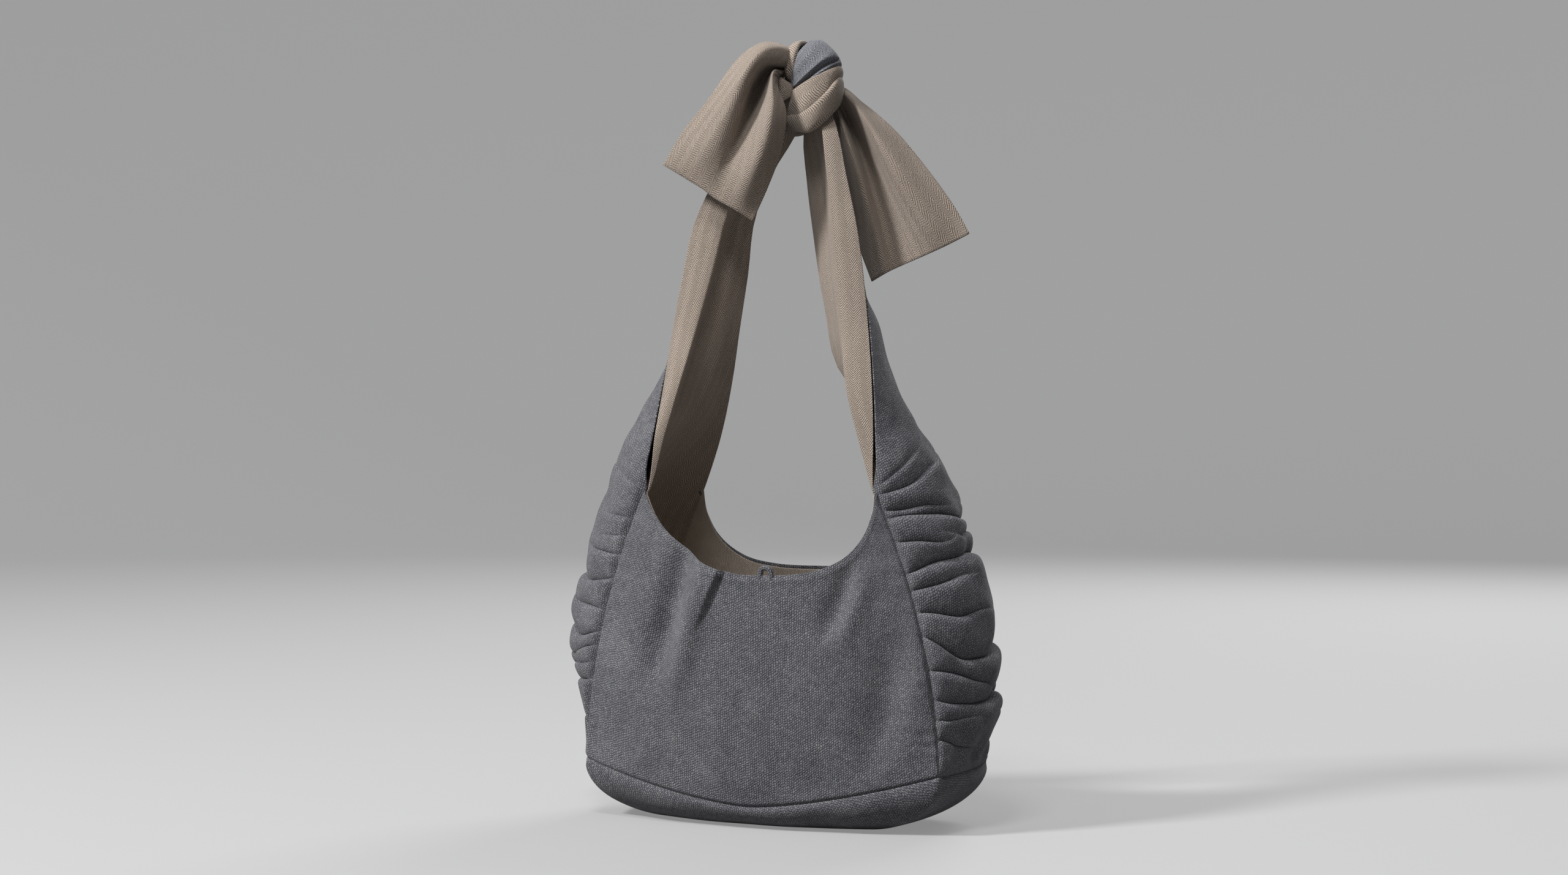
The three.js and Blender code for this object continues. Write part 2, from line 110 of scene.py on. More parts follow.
# %% [markdown]
# ## From a grid to a piece of cloth
# Real cloth has thickness and soft edges. A grid gets a second face behind it and a rounded rim, which
# makes a closed solid. Each corner also keeps its place on the flat cloth, in millimetres, as a UV map,
# so that the weave follows the cloth round every fold.

# %% Cloth builder
CLOTH_MAP = "cloth_mm"
RIM_REACH = 0.4


def unit(vectors):
    return vectors / np.maximum(np.linalg.norm(vectors, axis=-1, keepdims=True), 1e-9)


def grid_normals(grid, tube=False):
    """Directions straight out of the grid's face. A tube's last column joins its first."""
    across = np.roll(grid, -1, 1) - np.roll(grid, 1, 1) if tube else np.gradient(grid, axis=1)
    return unit(np.cross(across, np.gradient(grid, axis=0)))


def flat_places(grid, even_rows=False):
    """Where points lie on the flat cloth: across from the middle column, up from the first row."""
    across = np.linalg.norm(np.diff(grid, axis=1), axis=2)
    across = np.concatenate([np.zeros((len(grid), 1)), np.cumsum(across, axis=1)], axis=1)
    across = across - across[:, [across.shape[1] // 2]]
    along = np.linalg.norm(np.diff(grid, axis=0), axis=2)
    if even_rows:
        along = np.repeat(along.mean(axis=1, keepdims=True), grid.shape[1], axis=1)
    along = np.concatenate([np.zeros((1, grid.shape[1])), np.cumsum(along, axis=0)], axis=0)
    return np.stack([across, along], axis=2)


def quads(rows, columns, ring=False, tube=False):
    """Corner indices of the grid's quads, for its points and for its flat places."""
    r, c = np.meshgrid(np.arange(rows - (not ring)), np.arange(columns - (not tube)), indexing="ij")
    r, c = r.ravel(), c.ravel()
    corners = [(r, c), (r, c + 1), (r + 1, c + 1), (r + 1, c)]
    points = np.stack([(i % rows) * columns + j % columns for i, j in corners], axis=1)
    places = np.stack([i * (columns + tube) + j for i, j in corners], axis=1)
    return points, places


def encloses(points, faces):
    """The volume inside closed quads. It is negative where the faces point inwards."""
    a, b, c, d = (points[faces[:, i]] for i in range(4))
    return (np.cross(a, b) * c + np.cross(a, c) * d).sum() / 6


def mesh_piece(name, points, faces, places, finish):
    if encloses(points, faces) < 0:
        faces, places = faces[:, ::-1], places[:, ::-1]
    mesh = bpy.data.meshes.new(name)
    mesh.from_pydata((points * MM).tolist(), [], faces.tolist())
    layer = mesh.uv_layers.new(name=CLOTH_MAP)
    layer.data.foreach_set("uv", np.asarray(places, np.float32).ravel())
    mesh.polygons.foreach_set("use_smooth", np.ones(len(mesh.polygons), bool))
    mesh.materials.append(finish)
    piece = bpy.data.objects.new(name, mesh)
    bpy.context.scene.collection.objects.link(piece)
    return piece


def cloth_piece(name, grid, thickness, finish, places=None, flip=False):
    """A closed thin solid. The grid is its shown face, and the thickness goes behind it."""
    places = flat_places(grid) if places is None else places
    if flip:
        grid, places = grid[:, ::-1], places[:, ::-1]
    rows, columns = grid.shape[:2]
    back = grid - grid_normals(grid) * thickness
    faces, face_places = quads(rows, columns)
    index = np.arange(rows * columns).reshape(rows, columns)
    sides = [index[0, :-1], index[:-1, -1], index[-1, :0:-1], index[:0:-1, 0]]
    loop = np.concatenate(sides)
    inner = [index[1, :-1], index[:-1, -2], index[-2, :0:-1], index[:0:-1, 1]]
    flat, behind = grid.reshape(-1, 3), back.reshape(-1, 3)
    outwards = unit(flat[loop] - flat[np.concatenate(inner)])
    rim = (flat[loop] + behind[loop]) / 2 + outwards * thickness * RIM_REACH
    count, ahead = len(flat), np.roll(np.arange(len(loop)), -1)
    rim_index = 2 * count + np.arange(len(loop))
    near = np.stack([loop[ahead], loop, rim_index, rim_index[ahead]], axis=1)
    far = np.stack([rim_index[ahead], rim_index, loop + count, loop[ahead] + count], axis=1)
    edge_places = np.stack([loop[ahead], loop, loop, loop[ahead]], axis=1)
    all_faces = np.concatenate([faces, faces[:, ::-1] + count, near, far])
    table = places.reshape(-1, 2)
    corners = np.concatenate([face_places, face_places[:, ::-1], edge_places, edge_places])
    return mesh_piece(name, np.concatenate([flat, behind, rim]), all_faces, table[corners], finish)


def band_piece(name, grid, finish, places):
    """A closed band: the grid's rows close into a ring and its columns into a tube."""
    faces, face_places = quads(*grid.shape[:2], ring=True, tube=True)
    return mesh_piece(name, grid.reshape(-1, 3), faces, places.reshape(-1, 2)[face_places], finish)


def close_poles(piece):
    """Joins points that lie on one another, as at the middle of a dish or a ball."""
    made = bmesh.new()
    made.from_mesh(piece.data)
    bmesh.ops.remove_doubles(made, verts=made.verts, dist=1e-6)
    bmesh.ops.recalc_face_normals(made, faces=made.faces)
    made.to_mesh(piece.data)
    made.free()


print("Cloth builder ready, with its flat places in", CLOTH_MAP)

# %% [markdown]
# ## Shader maths as expressions
# A weave is a formula of the place on the cloth. Writing it with many Math nodes is slow to read, so a
# small class wraps a socket and turns Python's own operators into nodes.

# %% Shader wires
class Wire:
    """One output socket of a material, with sums written as Python expressions."""

    def __init__(self, tree, socket=None):
        self.tree, self.socket = tree, socket

    def node(self, kind, settings=None, inputs=None, output=0):
        made = self.tree.nodes.new(kind)
        for name, value in (settings or {}).items():
            if name == "stops":
                ramp = made.color_ramp.elements
                for element, (place, tint) in zip((ramp[0], ramp[1]), (value[0], value[-1])):
                    element.position, element.color = place, (*tint, 1)
                for place, tint in value[1:-1]:
                    ramp.new(place).color = (*tint, 1)
            else:
                setattr(made, name, value)
        for key, value in (inputs or {}).items():
            if isinstance(value, Wire):
                self.tree.links.new(value.socket, made.inputs[key])
            else:
                made.inputs[key].default_value = value
        return Wire(self.tree, made.outputs[output])

    def math(self, operation, *others):
        return self.node("ShaderNodeMath", {"operation": operation}, dict(enumerate((self, *others))))

    def flipped(self, operation, other):
        return self.node("ShaderNodeMath", {"operation": operation}, {0: other, 1: self})

    def __add__(self, other):
        return self.math("ADD", other)

    __radd__ = __add__

    def __sub__(self, other):
        return self.math("SUBTRACT", other)

    def __rsub__(self, other):
        return self.flipped("SUBTRACT", other)

    def __mul__(self, other):
        return self.math("MULTIPLY", other)

    __rmul__ = __mul__

    def __truediv__(self, other):
        return self.math("DIVIDE", other)

    def __rtruediv__(self, other):
        return self.flipped("DIVIDE", other)

    def mix(self, first, second):
        """A colour between two others, by this wire's value."""
        ends = {0: self, 6: (*first, 1), 7: (*second, 1)}
        return self.node("ShaderNodeMix", {"data_type": "RGBA"}, ends, 2)

    def step(self, low, high):
        """0 below low and 1 above high, with a smooth rise between."""
        settings = {"interpolation_type": "SMOOTHSTEP"}
        return self.node("ShaderNodeMapRange", settings, {0: self, 1: low, 2: high})


def colour(red, green, blue):
    """A colour as a picture shows it, from 0 to 255, in the shader's linear values."""
    def linear(value):
        share = value / 255
        return share / 12.92 if share <= 0.04045 else ((share + 0.055) / 1.055) ** 2.4

    return tuple(linear(v) for v in (red, green, blue))


def new_finish(name):
    """An empty material, its shader, the flat place on the cloth, and that place across and along."""
    material = bpy.data.materials.new(name)
    material.use_nodes = True
    shader = material.node_tree.nodes["Principled BSDF"]
    start = Wire(material.node_tree)
    flat = start.node("ShaderNodeUVMap", {"uv_map": CLOTH_MAP})
    across = flat.node("ShaderNodeSeparateXYZ", None, {0: flat})
    along = Wire(material.node_tree, across.socket.node.outputs[1])
    return material, shader, flat, across, along


CLOTH_SHADER = {"Sheen Weight": 0.12, "Sheen Roughness": 0.5, "Specular IOR Level": 0.2}


def dress(wire, shader, base, roughness, height, distance):
    """Feeds a finish's colour, roughness and relief to its shader."""
    bump = wire.node("ShaderNodeBump", None, {"Strength": 1.0, "Distance": distance, "Height": height})
    for name, source in (("Base Color", base), ("Roughness", roughness), ("Normal", bump)):
        wire.tree.links.new(source.socket, shader.inputs[name])
    for name, value in CLOTH_SHADER.items():
        shader.inputs[name].default_value = value


def noise(flat, scale, detail=2.0):
    return flat.node("ShaderNodeTexNoise", None, {"Vector": flat, "Scale": scale, "Detail": detail})


def wander(flat, scale, reach):
    """Noise about zero, with waves about 1 / scale millimetres long."""
    return (noise(flat, scale) - 0.5) * reach


print("Shader wires ready")

# %% [markdown]
# ## The tweed
# The outer cloth is a coarse plain weave of thick uneven yarn: where a light yarn comes to the top it
# shows as a small blob, with a darker ground between. A picture of cloth would repeat and blur, so a
# formula draws it. It cuts the cloth into cells, shifts every second column by half a cell and puts a
# soft blob in each. Noise bends the grid and frays the blobs, as hand-spun yarn does, and here and
# there faint twill lines come through.

# %% Tweed finish
YARN_ACROSS, YARN_ALONG, TWILL_STEP = 2.0, 2.1, 2.7
TWEED_STOPS = [(0.0, colour(54, 55, 62)), (0.5, colour(105, 105, 110)), (1.0, colour(158, 157, 157))]
TWEED_RELIEF = 0.00045


def tweed_finish():
    material, shader, flat, across, along = new_finish("tweed")
    u = across / YARN_ACROSS + wander(flat, 0.1, 1.4) + wander(flat, 0.45, 0.8)
    cell_u = u.math("FLOOR")
    v = along / YARN_ALONG + wander(flat, 0.12, 1.4) + wander(flat, 0.5, 0.8)
    shift = cell_u.node("ShaderNodeTexWhiteNoise", {"noise_dimensions": "1D"}, {"W": cell_u})
    v = v + cell_u.math("MODULO", 2.0) * 0.5 + shift * 0.3
    cell_v = v.math("FLOOR")
    cell = cell_u.node("ShaderNodeCombineXYZ", None, {0: cell_u, 1: cell_v})
    chance = cell.node("ShaderNodeTexWhiteNoise", {"noise_dimensions": "2D"}, {"Vector": cell})
    fibre = noise(flat, 1.6, 3.0)
    du, dv = u - cell_u - 0.5, v - cell_v - 0.5
    lean = du + dv * ((chance * 7.3).math("FRACT") - 0.8) * 0.8
    blob = (1.15 - lean * lean * 4.6 - dv * dv * 3.6 + (fibre - 0.5) * 0.9).step(0.0, 1.2)
    patch = wander(flat, 0.03, 0.18) + wander(flat, 0.09, 0.2)
    twill = (((across + along) / TWILL_STEP).math("FRACT") - 0.5).math("ABSOLUTE")
    twill = twill * noise(flat, 0.017).step(0.54, 0.64)
    tone = blob * 0.54 + (chance - 0.5) * 0.2 + (fibre - 0.5) * 0.4 + patch + twill * 0.26 + 0.14
    base = tone.node("ShaderNodeValToRGB", {"stops": TWEED_STOPS}, {0: tone})
    dress(flat, shader, base, 0.99 - blob * 0.1, blob + fibre * 0.4, TWEED_RELIEF)
    return material


tweed = tweed_finish()
print("Tweed with yarns", YARN_ALONG, "mm apart")

# %% [markdown]
# ## The herringbone
# The lining and the straps' inner side are a herringbone: columns of slanted lines whose slant turns
# round at each column. A triangle wave across the cloth lifts the lines, and the fraction of the sum
# gives one line after another. The same formula in other colours is the cloth that shows in the knot.

# %% Herringbone finishes
COLUMN, TWILL, SLANT = 5.6, 2.1, 1.15
HERRINGBONE_RELIEF = 0.0004


def herringbone_finish(name, dark, light, contrast):
    material, shader, flat, across, along = new_finish(name)
    column = (across + wander(flat, 0.06, 1.6)) / (2 * COLUMN)
    wave = (column.math("FRACT") - 0.5).math("ABSOLUTE") * (2 * COLUMN * SLANT)
    line = (along + wave + wander(flat, 0.25, 1.6) + wander(flat, 1.1, 0.6)) / TWILL
    edge = (line.math("FRACT") - 0.5).math("ABSOLUTE") * 2
    fibre = noise(flat, 1.7, 3.0)
    thread = (1 - edge + (fibre - 0.5) * 0.9).step(0.08, 0.92)
    # Painted sheen: every second column is a little lighter, as twill that leans the other way catches the
    # light differently.
    side = column.math("FRACT").step(0.46, 0.54) - 0.5
    tone = thread * contrast + (1 - contrast) * 0.75
    tone = tone + wander(flat, 0.025, 0.22) + (fibre - 0.5) * 0.45 + side * 0.06
    base = tone.step(-0.1, 1.1).mix(dark, light)
    dress(flat, shader, base, 0.97 - thread * 0.1, thread + fibre * 0.5, HERRINGBONE_RELIEF)
    return material


lining = herringbone_finish("lining", colour(96, 82, 71), colour(184, 170, 157), 0.78)
knot_tweed = herringbone_finish("tweed_herringbone", colour(44, 47, 57), colour(150, 151, 156), 0.95)
print("Herringbone columns", COLUMN, "mm wide")

# %% [markdown]
# ## The plain facing
# Inside the body the lining is a pebbly beige weave, finer than the tweed. Two sine waves that cross
# give one bead after another, which is enough for a cloth that lies in shade.

# %% Facing finish
BEAD_ACROSS, BEAD_ALONG, BEAD_LEAN = 1.3, 1.6, 0.8
FACING_RELIEF = 0.00035


def facing_finish():
    material, shader, flat, across, along = new_finish("facing")
    lean = along + across * BEAD_LEAN
    u = (across + noise(flat, 0.3) * 1.6) / BEAD_ACROSS
    v = (lean + noise(flat, 0.35) * 1.6) / BEAD_ALONG
    bead = (u * math.pi).math("SINE") * (v * math.pi).math("SINE")
    fibre = noise(flat, 2.4, 3.0)
    thread = (bead.math("ABSOLUTE") + fibre * 0.6).step(0.15, 1.0)
    tone = (thread * 0.75 + noise(flat, 0.05) * 0.3).step(0.0, 1.0)
    base = tone.mix(colour(132, 120, 108), colour(212, 200, 187))
    dress(flat, shader, base, 0.96 - thread * 0.08, thread + fibre * 0.3, FACING_RELIEF)
    return material


facing = facing_finish()
print("Facing with beads", BEAD_ACROSS, "mm apart")

# %% [markdown]
# ## The shape of the body
# The body has a front and a back panel that bulge a little, joined to gussets along knife-edged seams.
# These formulas repeat the frame's own shape, so that the cloth lies on its solids. Formulas are better
# here than the frame's meshes, because every layer of cloth needs the same shape at its own depth.

# %% Body shape
BASE_HALF_WIDTH, MOUTH_HALF_WIDTH, SEAM_HALF_DEPTH = 165.0, 107.0, 59.0
BASE_SEAM_MIDDLE, BASE_SEAM_CORNER = 19.0, 50.0
MOUTH_MIDDLE, MOUTH_CORNER = 213.0, 284.0
SEAM_TAPER, BASE_SEAM_CURVE, GUSSET_TAPER = 2.1, 1.5, 3.2
MOUTH_CURVE, MOUTH_CURVE_FRONT_LEFT = 3.6, 1.6
PANEL_BULGE, GUSSET_BULGE = (20, 30), (49, 9)
LINING_INSET = 3.4
FRONT, BACK, LEFT, RIGHT = -1, 1, -1, 1


def rise_share(z, low):
    return np.clip((z - low) / (MOUTH_CORNER - low), 0, 1)


def seam_half_width(z):
    return lerp(BASE_HALF_WIDTH, MOUTH_HALF_WIDTH, rise_share(z, BASE_SEAM_MIDDLE) ** SEAM_TAPER)


def panel_bulge(z):
    return lerp(*PANEL_BULGE, np.sin(np.pi * rise_share(z, BASE_SEAM_MIDDLE)))


def gusset_bulge(z):
    return lerp(*GUSSET_BULGE, (1 - rise_share(z, BASE_SEAM_CORNER)) ** GUSSET_TAPER)


def base_seam_height(u):
    return lerp(BASE_SEAM_MIDDLE, BASE_SEAM_CORNER, np.abs(u) ** BASE_SEAM_CURVE)


def mouth_height(side, u):
    power = np.where((u < 0) & (side == FRONT), MOUTH_CURVE_FRONT_LEFT, MOUTH_CURVE)
    return lerp(MOUTH_MIDDLE, MOUTH_CORNER, np.abs(u) ** power)


print("Body", 2 * BASE_HALF_WIDTH, "mm wide at the seams")

# %% [markdown]
# ## Folds of the panels
# Where the mouth pulls on a panel, the cloth sinks into long soft hollows, and beside the closure it is
# folded into a pleat. Each has a line from its upper to its lower end. A point's distance to that line
# gives the rise or fall of the cloth there, so a fold is moved by changing two points. Broad waves and
# small pulls along the gathered seams are added, because cloth is never quite smooth.

# %% Panel relief
# Upper end, lower end, height and spread of each pleat, and depth and breadth of each hollow.
PLEATS = {
    FRONT: [((-23, 214), (-43, 168), 4.6, 15)],
    BACK: [((30, 214), (48, 165), 3.2, 15)],
}
HOLLOWS = {
    FRONT: [
        ((-55, 246), (-91, 116), 12.5, 14),
        ((92, 228), (70, 158), 6.5, 9.5),
        ((128, 170), (112, 52), 8.0, 17),
    ],
    BACK: [((-70, 222), (-52, 150), 4.0, 10), ((60, 150), (84, 60), 3.2, 16)],
}
PLEAT_EDGE, PLEAT_GROOVE, HOLLOW_RIDGE = 1.9, 0.2, 0.6
PANEL_SEEDS = {FRONT: 11, BACK: 29}


def beside_line(x, z, top, bottom):
    """The share of the way down a line, and the distance to its right."""
    run = np.array(bottom, float) - np.array(top)
    length = np.hypot(*run)
    run = run / length
    along = ((x - top[0]) * run[0] + (z - top[1]) * run[1]) / length
    return along, (z - top[1]) * run[0] - (x - top[0]) * run[1]


def pleat(x, z, top, bottom, height, spread):
    """A fold that is proud on its left and sharp on its right, and fades out downwards."""
    along, right = beside_line(x, z, top, bottom)
    left = -right
    proud = np.where(left > 0, np.exp(-np.abs(left) / spread), bell(left, PLEAT_EDGE))
    groove = PLEAT_GROOVE * bell(left + 3.6, 2.4)
    return height * (1 - smooth(along, 0.2, 1.3)) * (proud - groove)


def hollow(x, z, top, bottom, depth, breadth):
    """A soft valley with a low ridge on its right."""
    along, right = beside_line(x, z, top, bottom)
    off = right / breadth
    fade = smooth(along, -0.2, 0.4) * (1 - smooth(along, 0.6, 1.15))
    return depth * fade * (bell(off, 1) - HOLLOW_RIDGE * bell(off - 1.7, 1))


def panel_relief(side, x, z, u, pleats):
    seed = PANEL_SEEDS[side]
    relief = 1.5 * ripple(x, 0.6 * z, 130, seed)
    relief = relief + 1.7 * ripple(x, 0.2 * z, 52, seed + 1) * (1 - smooth(z, 30, 150))
    edge = seam_half_width(z) * (1 - np.abs(u))
    pulls = np.sin(2 * np.pi * z / 18 + 2 * ripple(z, 0 * z, 60, seed + 2))
    relief = relief + 0.9 * np.exp(-edge / 11) * pulls
    for fold in pleats:
        relief = relief + pleat(x, z, *fold)
    for dent in HOLLOWS[side]:
        relief = relief - hollow(x, z, *dent)
    return relief


print("Folds of the front panel:", len(PLEATS[FRONT]), "pleat and", len(HOLLOWS[FRONT]), "hollows")

# %% [markdown]
# ## Front and back panels
# Each panel is a grid between its seams, with the relief added to the smooth bulge. At the seams the
# cloth turns in, which draws the dark seam line, and along the mouth it is turned over into a hem. A
# grid with its points crowded towards the edges spends them where the cloth bends most. The facing is a
# second, plainer grid behind.

# %% Panels
# The hem along the mouth, as steps inwards and down from the edge, and the facing's drop below it.
HEM_TURN = [(0.7, -0.4), (1.6, -0.3), (2.1, 0.8), (2.2, 5.0)]
FACING_DROP = 3.0
SIDE_SEAM_SINK, BASE_SEAM_SINK, HEM_SWELL = 3.0, 2.2, 0.5
PANEL_CUT, LINING_CUT = (352, 292), (346, 288)
PANEL_GRID, FACING_GRID = (230, 140), (90, 70)
PANEL_THICKNESS, FACING_THICKNESS = 1.6, 1.0


def crowded(count, power):
    """Places from -1 to 1 that stand closer together near both ends."""
    even = np.linspace(-1, 1, count)
    return np.sign(even) * (1 - (1 - np.abs(even)) ** power)


def panel_grid(side, inset, columns, rows, seamed):
    u = crowded(columns + 1, 1.3)[None, :]
    v = (crowded(rows + 1, 1.35)[:, None] + 1) / 2
    low, high = base_seam_height(u), mouth_height(side, u) - (0 if seamed else FACING_DROP)
    z = low + (high - low) * v
    x = u * (seam_half_width(z) - inset)
    y = SEAM_HALF_DEPTH - inset + panel_bulge(z) * (1 - u**2)
    relief = panel_relief(side, x, z, u, PLEATS[side] if seamed else [])
    relief = relief * (1 - np.abs(u) ** 24) * smooth(z - low, 0, 24)
    if seamed:
        side_edge = seam_half_width(z) * (1 - np.abs(u))
        relief = relief - SIDE_SEAM_SINK * bell(side_edge, 1.5) - BASE_SEAM_SINK * bell(z - low, 1.8)
        relief = relief + HEM_SWELL * bell(high - z - 5, 2.5) - 0.3 * bell(high - z, 1.8)
    grid = np.stack([x, side * (y + relief), z + 0 * x], axis=2)
    hem = [grid[-1:] - (0, side * inward, down) for inward, down in HEM_TURN] if seamed else []
    return np.concatenate([grid, *hem])


def flat_area(grid):
    """The area of the cloth in square metres, from the grid's quads."""
    across, along = grid[:-1, 1:] - grid[:-1, :-1], grid[1:, :-1] - grid[:-1, :-1]
    return np.linalg.norm(np.cross(across, along), axis=2).sum() * MM * MM


def declare_cloth(piece, grid, cut):
    """Says what size the cloth was cut to: width and length in millimetres, and its own area."""
    width, length = (c * MM for c in cut)
    area = min(flat_area(grid), width * length)
    print(piece.name, "cut", cut, "mm, area", round(area, 4), "m2")


for side, name in ((FRONT, "front"), (BACK, "back")):
    grid = panel_grid(side, 0, *PANEL_GRID, True)
    panel = cloth_piece(f"{name}_tweed", grid, PANEL_THICKNESS, tweed, flip=side == BACK)
    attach(panel, "bag")
    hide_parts(f"{name}_panel")
    declare_cloth(panel, grid, PANEL_CUT)
    grid = panel_grid(side, LINING_INSET, *FACING_GRID, False)
    inner = cloth_piece(f"{name}_inner", grid, FACING_THICKNESS, facing, flip=side == FRONT)
    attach(inner, "bag")
    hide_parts(f"{name}_lining")
    declare_cloth(inner, grid, LINING_CUT)

# %% [markdown]
# ## Where the straps run
# Each strap is a flat band, folded lengthwise. Three lines describe it: the front edge, the ridge of
# the fold and the back edge. Below the mouth the same lines are the gusset's two seams, so gusset and
# strap are one piece of cloth, as they are on the real bag.

# %% Strap lines
# Height, then across and depth of the front edge, the ridge and the back edge.
STRAP_LINES = {
    LEFT: [
        (284, -107, -59, -106, -58, -107, 59),
        (332, -98, -55, -90, -50, -82, 45),
        (380, -95, -42, -77, -38, -64, 30),
        (424, -93, -30, -68, -25, -51, 17),
        (470, -86, -25, -56, -19, -41, 12),
        (520, -74, -22, -43, -15, -32, 8),
        (560, -49, -20, -24, -14, -14, 8),
        (594, -8, -14, 4, -12, 9, 8),
        (622, 10, -8, 18, -9, 20, 6),
    ],
    RIGHT: [
        (284, 107, -59, 106, -58, 107, 59),
        (332, 103, -53, 87, -50, 82, 44),
        (356, 100.5, -48, 78.5, -45, 63, 34),
        (380, 97, -42, 71.7, -39, 44, 25),
        (440, 87, -29, 62.5, -27, 31, 14),
        (505, 77, -25, 53.5, -21, 20, 14),
        (550, 66, -22, 48.5, -20, 15, 12),
        (594, 54, -16, 41, -18, 14, 8),
        (622, 40, -9, 33, -12, 22, 6),
    ],
}
# Height and how far the outer cloth stands off the chord between its two edges.
STRAP_BULGE = {
    LEFT: [(284, 52), (332, 54), (380, 37), (429, 6), (460, 0), (600, 0)],
    RIGHT: [(284, 38), (340, 28), (387, 28), (434, 22), (474, 5), (500, 0), (600, 0)],
}
GUSSET_SLACK = {LEFT: 1.06, RIGHT: 0.78}
INSET_ENDS = 340


def strap_lines(side, z, inset):
    """Front edge, ridge and back edge at heights z, as arrays of x and y."""
    table = np.array(STRAP_LINES[side], float)
    above = spline(table[:, 0], table[:, 1:], z).reshape(-1, 3, 2)
    half, depth = side * (seam_half_width(z) - inset), SEAM_HALF_DEPTH - inset + 0 * z
    below = np.stack([half, -depth, half - side, 1 - depth, half, depth], 1).reshape(-1, 3, 2)
    fade = inset * (1 - smooth(z, MOUTH_CORNER, INSET_ENDS))
    inwards = np.stack([-side * fade, fade, -side * fade, fade, -side * fade, -fade], 1)
    above = above + inwards.reshape(-1, 3, 2)
    return np.where((z < MOUTH_CORNER)[:, None, None], below, above)


def strap_bulge(side, z):
    table = np.array(STRAP_BULGE[side], float)
    above = spline(table[:, 0], table[:, 1], z)
    return np.where(z < MOUTH_CORNER, gusset_bulge(z) * GUSSET_SLACK[side], above)


def outwards_of(side, run):
    """Level direction away from the bag's middle, at a right angle to a level run."""
    turned = np.stack([run[..., 1], -run[..., 0]], axis=-1)
    return unit(turned) * side


print("Strap lines from", MOUTH_CORNER, "mm up into the knot")

# %% [markdown]
# ## The straps' sections
# A level cut through a strap shows two layers. The inner one has a rounded front leg that laps over a
# back leg, which lower down opens out into the gusset's lining. The outer one bulges from edge to edge
# low down and lies on the inner one higher up. Both are worked out for all heights at once, as one
# array.

# %% Strap sections
STRAP_FLATTENS = {LEFT: (365, 470), RIGHT: (420, 515)}
LEG_SHARE, LAP_RISE, LAP_DEPTH, LAP_TUCK = 0.36, 6.0, 5.0, 4.0
LAP_STARTS, LAP_ENDS, BULGE_ENDS = (296, 372), (575, 612), (250, 365)
LINING_SLACK, SLACK_STARTS, SLACK_ENDS = 9.0, (14, 45), (270, 330)
LOW_PINCH, PINCH_HEIGHT, PINCH_BREADTH = 17.0, 90, 24
STRAP_RIPPLE, BEHIND_LINING = 1.6, 2.6


def low_pinch(side, z):
    """How far the side is drawn in low down, which shows on the left."""
    return np.where(side == LEFT, LOW_PINCH, 0) * bell(z - PINCH_HEIGHT, PINCH_BREADTH)


def inner_section(side, z, w, inset):
    """The folded inner face at heights z, for shares w from the front edge to the back edge."""
    front, ridge, back = np.moveaxis(strap_lines(side, z, inset)[:, :, None, :], 1, 0)
    w = w[None, :, None]
    leg = np.clip(w / LEG_SHARE, 0, 1)
    rest = np.clip((w - LEG_SHARE) / (1 - LEG_SHARE), 0, 1)
    lapped = (smooth(z, *LAP_STARTS) * (1 - smooth(z, *LAP_ENDS)))[:, None, None]
    behind = outwards_of(side, ridge - front)
    roll = lerp(front, ridge, leg) - behind * lapped * LAP_RISE * np.sin(1.95 * leg)
    start = ridge + lapped * (behind * LAP_DEPTH - unit(ridge - front) * LAP_TUCK)
    points = np.where(w <= LEG_SHARE, roll, lerp(start, back, rest))
    bulge = strap_bulge(side, z) * (1 - smooth(z, *BULGE_ENDS))
    slack = LINING_SLACK * smooth(z, *SLACK_STARTS) * (1 - smooth(z, *SLACK_ENDS))
    bulge = bulge - (slack + low_pinch(side, z))
    points = points + outwards_of(side, back - ridge) * bulge[:, None, None] * 4 * rest * (1 - rest)
    for _ in range(3):
        softer = (points[:, :-2] + 2 * points[:, 1:-1] + points[:, 2:]) / 4
        points = np.concatenate([points[:, :1], softer, points[:, -1:]], axis=1)
    waves = STRAP_RIPPLE * lapped * 4 * rest * (1 - rest)
    waves = waves * ripple(95 * w[..., 0], 0.12 * z[:, None], 30, 70 + side)[:, :, None]
    return points + outwards_of(side, back - ridge) * waves


def outer_section(side, z, w, inner):
    """The outer face, over an inner face of the same shares."""
    front, _, back = np.moveaxis(strap_lines(side, z, 0)[:, :, None, :], 1, 0)
    share = w[None, :, None]
    outwards = outwards_of(side, back - front)
    bulged = lerp(front, back, share)
    bulged = bulged + outwards * strap_bulge(side, z)[:, None, None] * 4 * share * (1 - share)
    bulged = bulged + outwards * BEHIND_LINING * smooth(z, MOUTH_CORNER, 310)[:, None, None]
    lying = inner + outwards_of(side, np.gradient(inner, axis=1)) * BEHIND_LINING
    loose = (1 - smooth(z, *STRAP_FLATTENS[side]))[:, None, None]
    return lerp(lying, bulged, loose)


print("Straps lie flat above", STRAP_FLATTENS[LEFT][1], "and", STRAP_FLATTENS[RIGHT][1], "mm")

# %% [markdown]
# ## The gathers
# The gussets were cut longer than the panels and gathered along the seams. The cloth swells out, and
# folds cut into it: each starts as a tuck at a seam and either fades out or runs on round the side.
# Above a fold the cloth turns in softly, which gives a wide shade, and below it stands out again at
# once in a rounded lip. A cloth simulation gives folds of this kind, but not at chosen places, so each
# is a curve in a table.

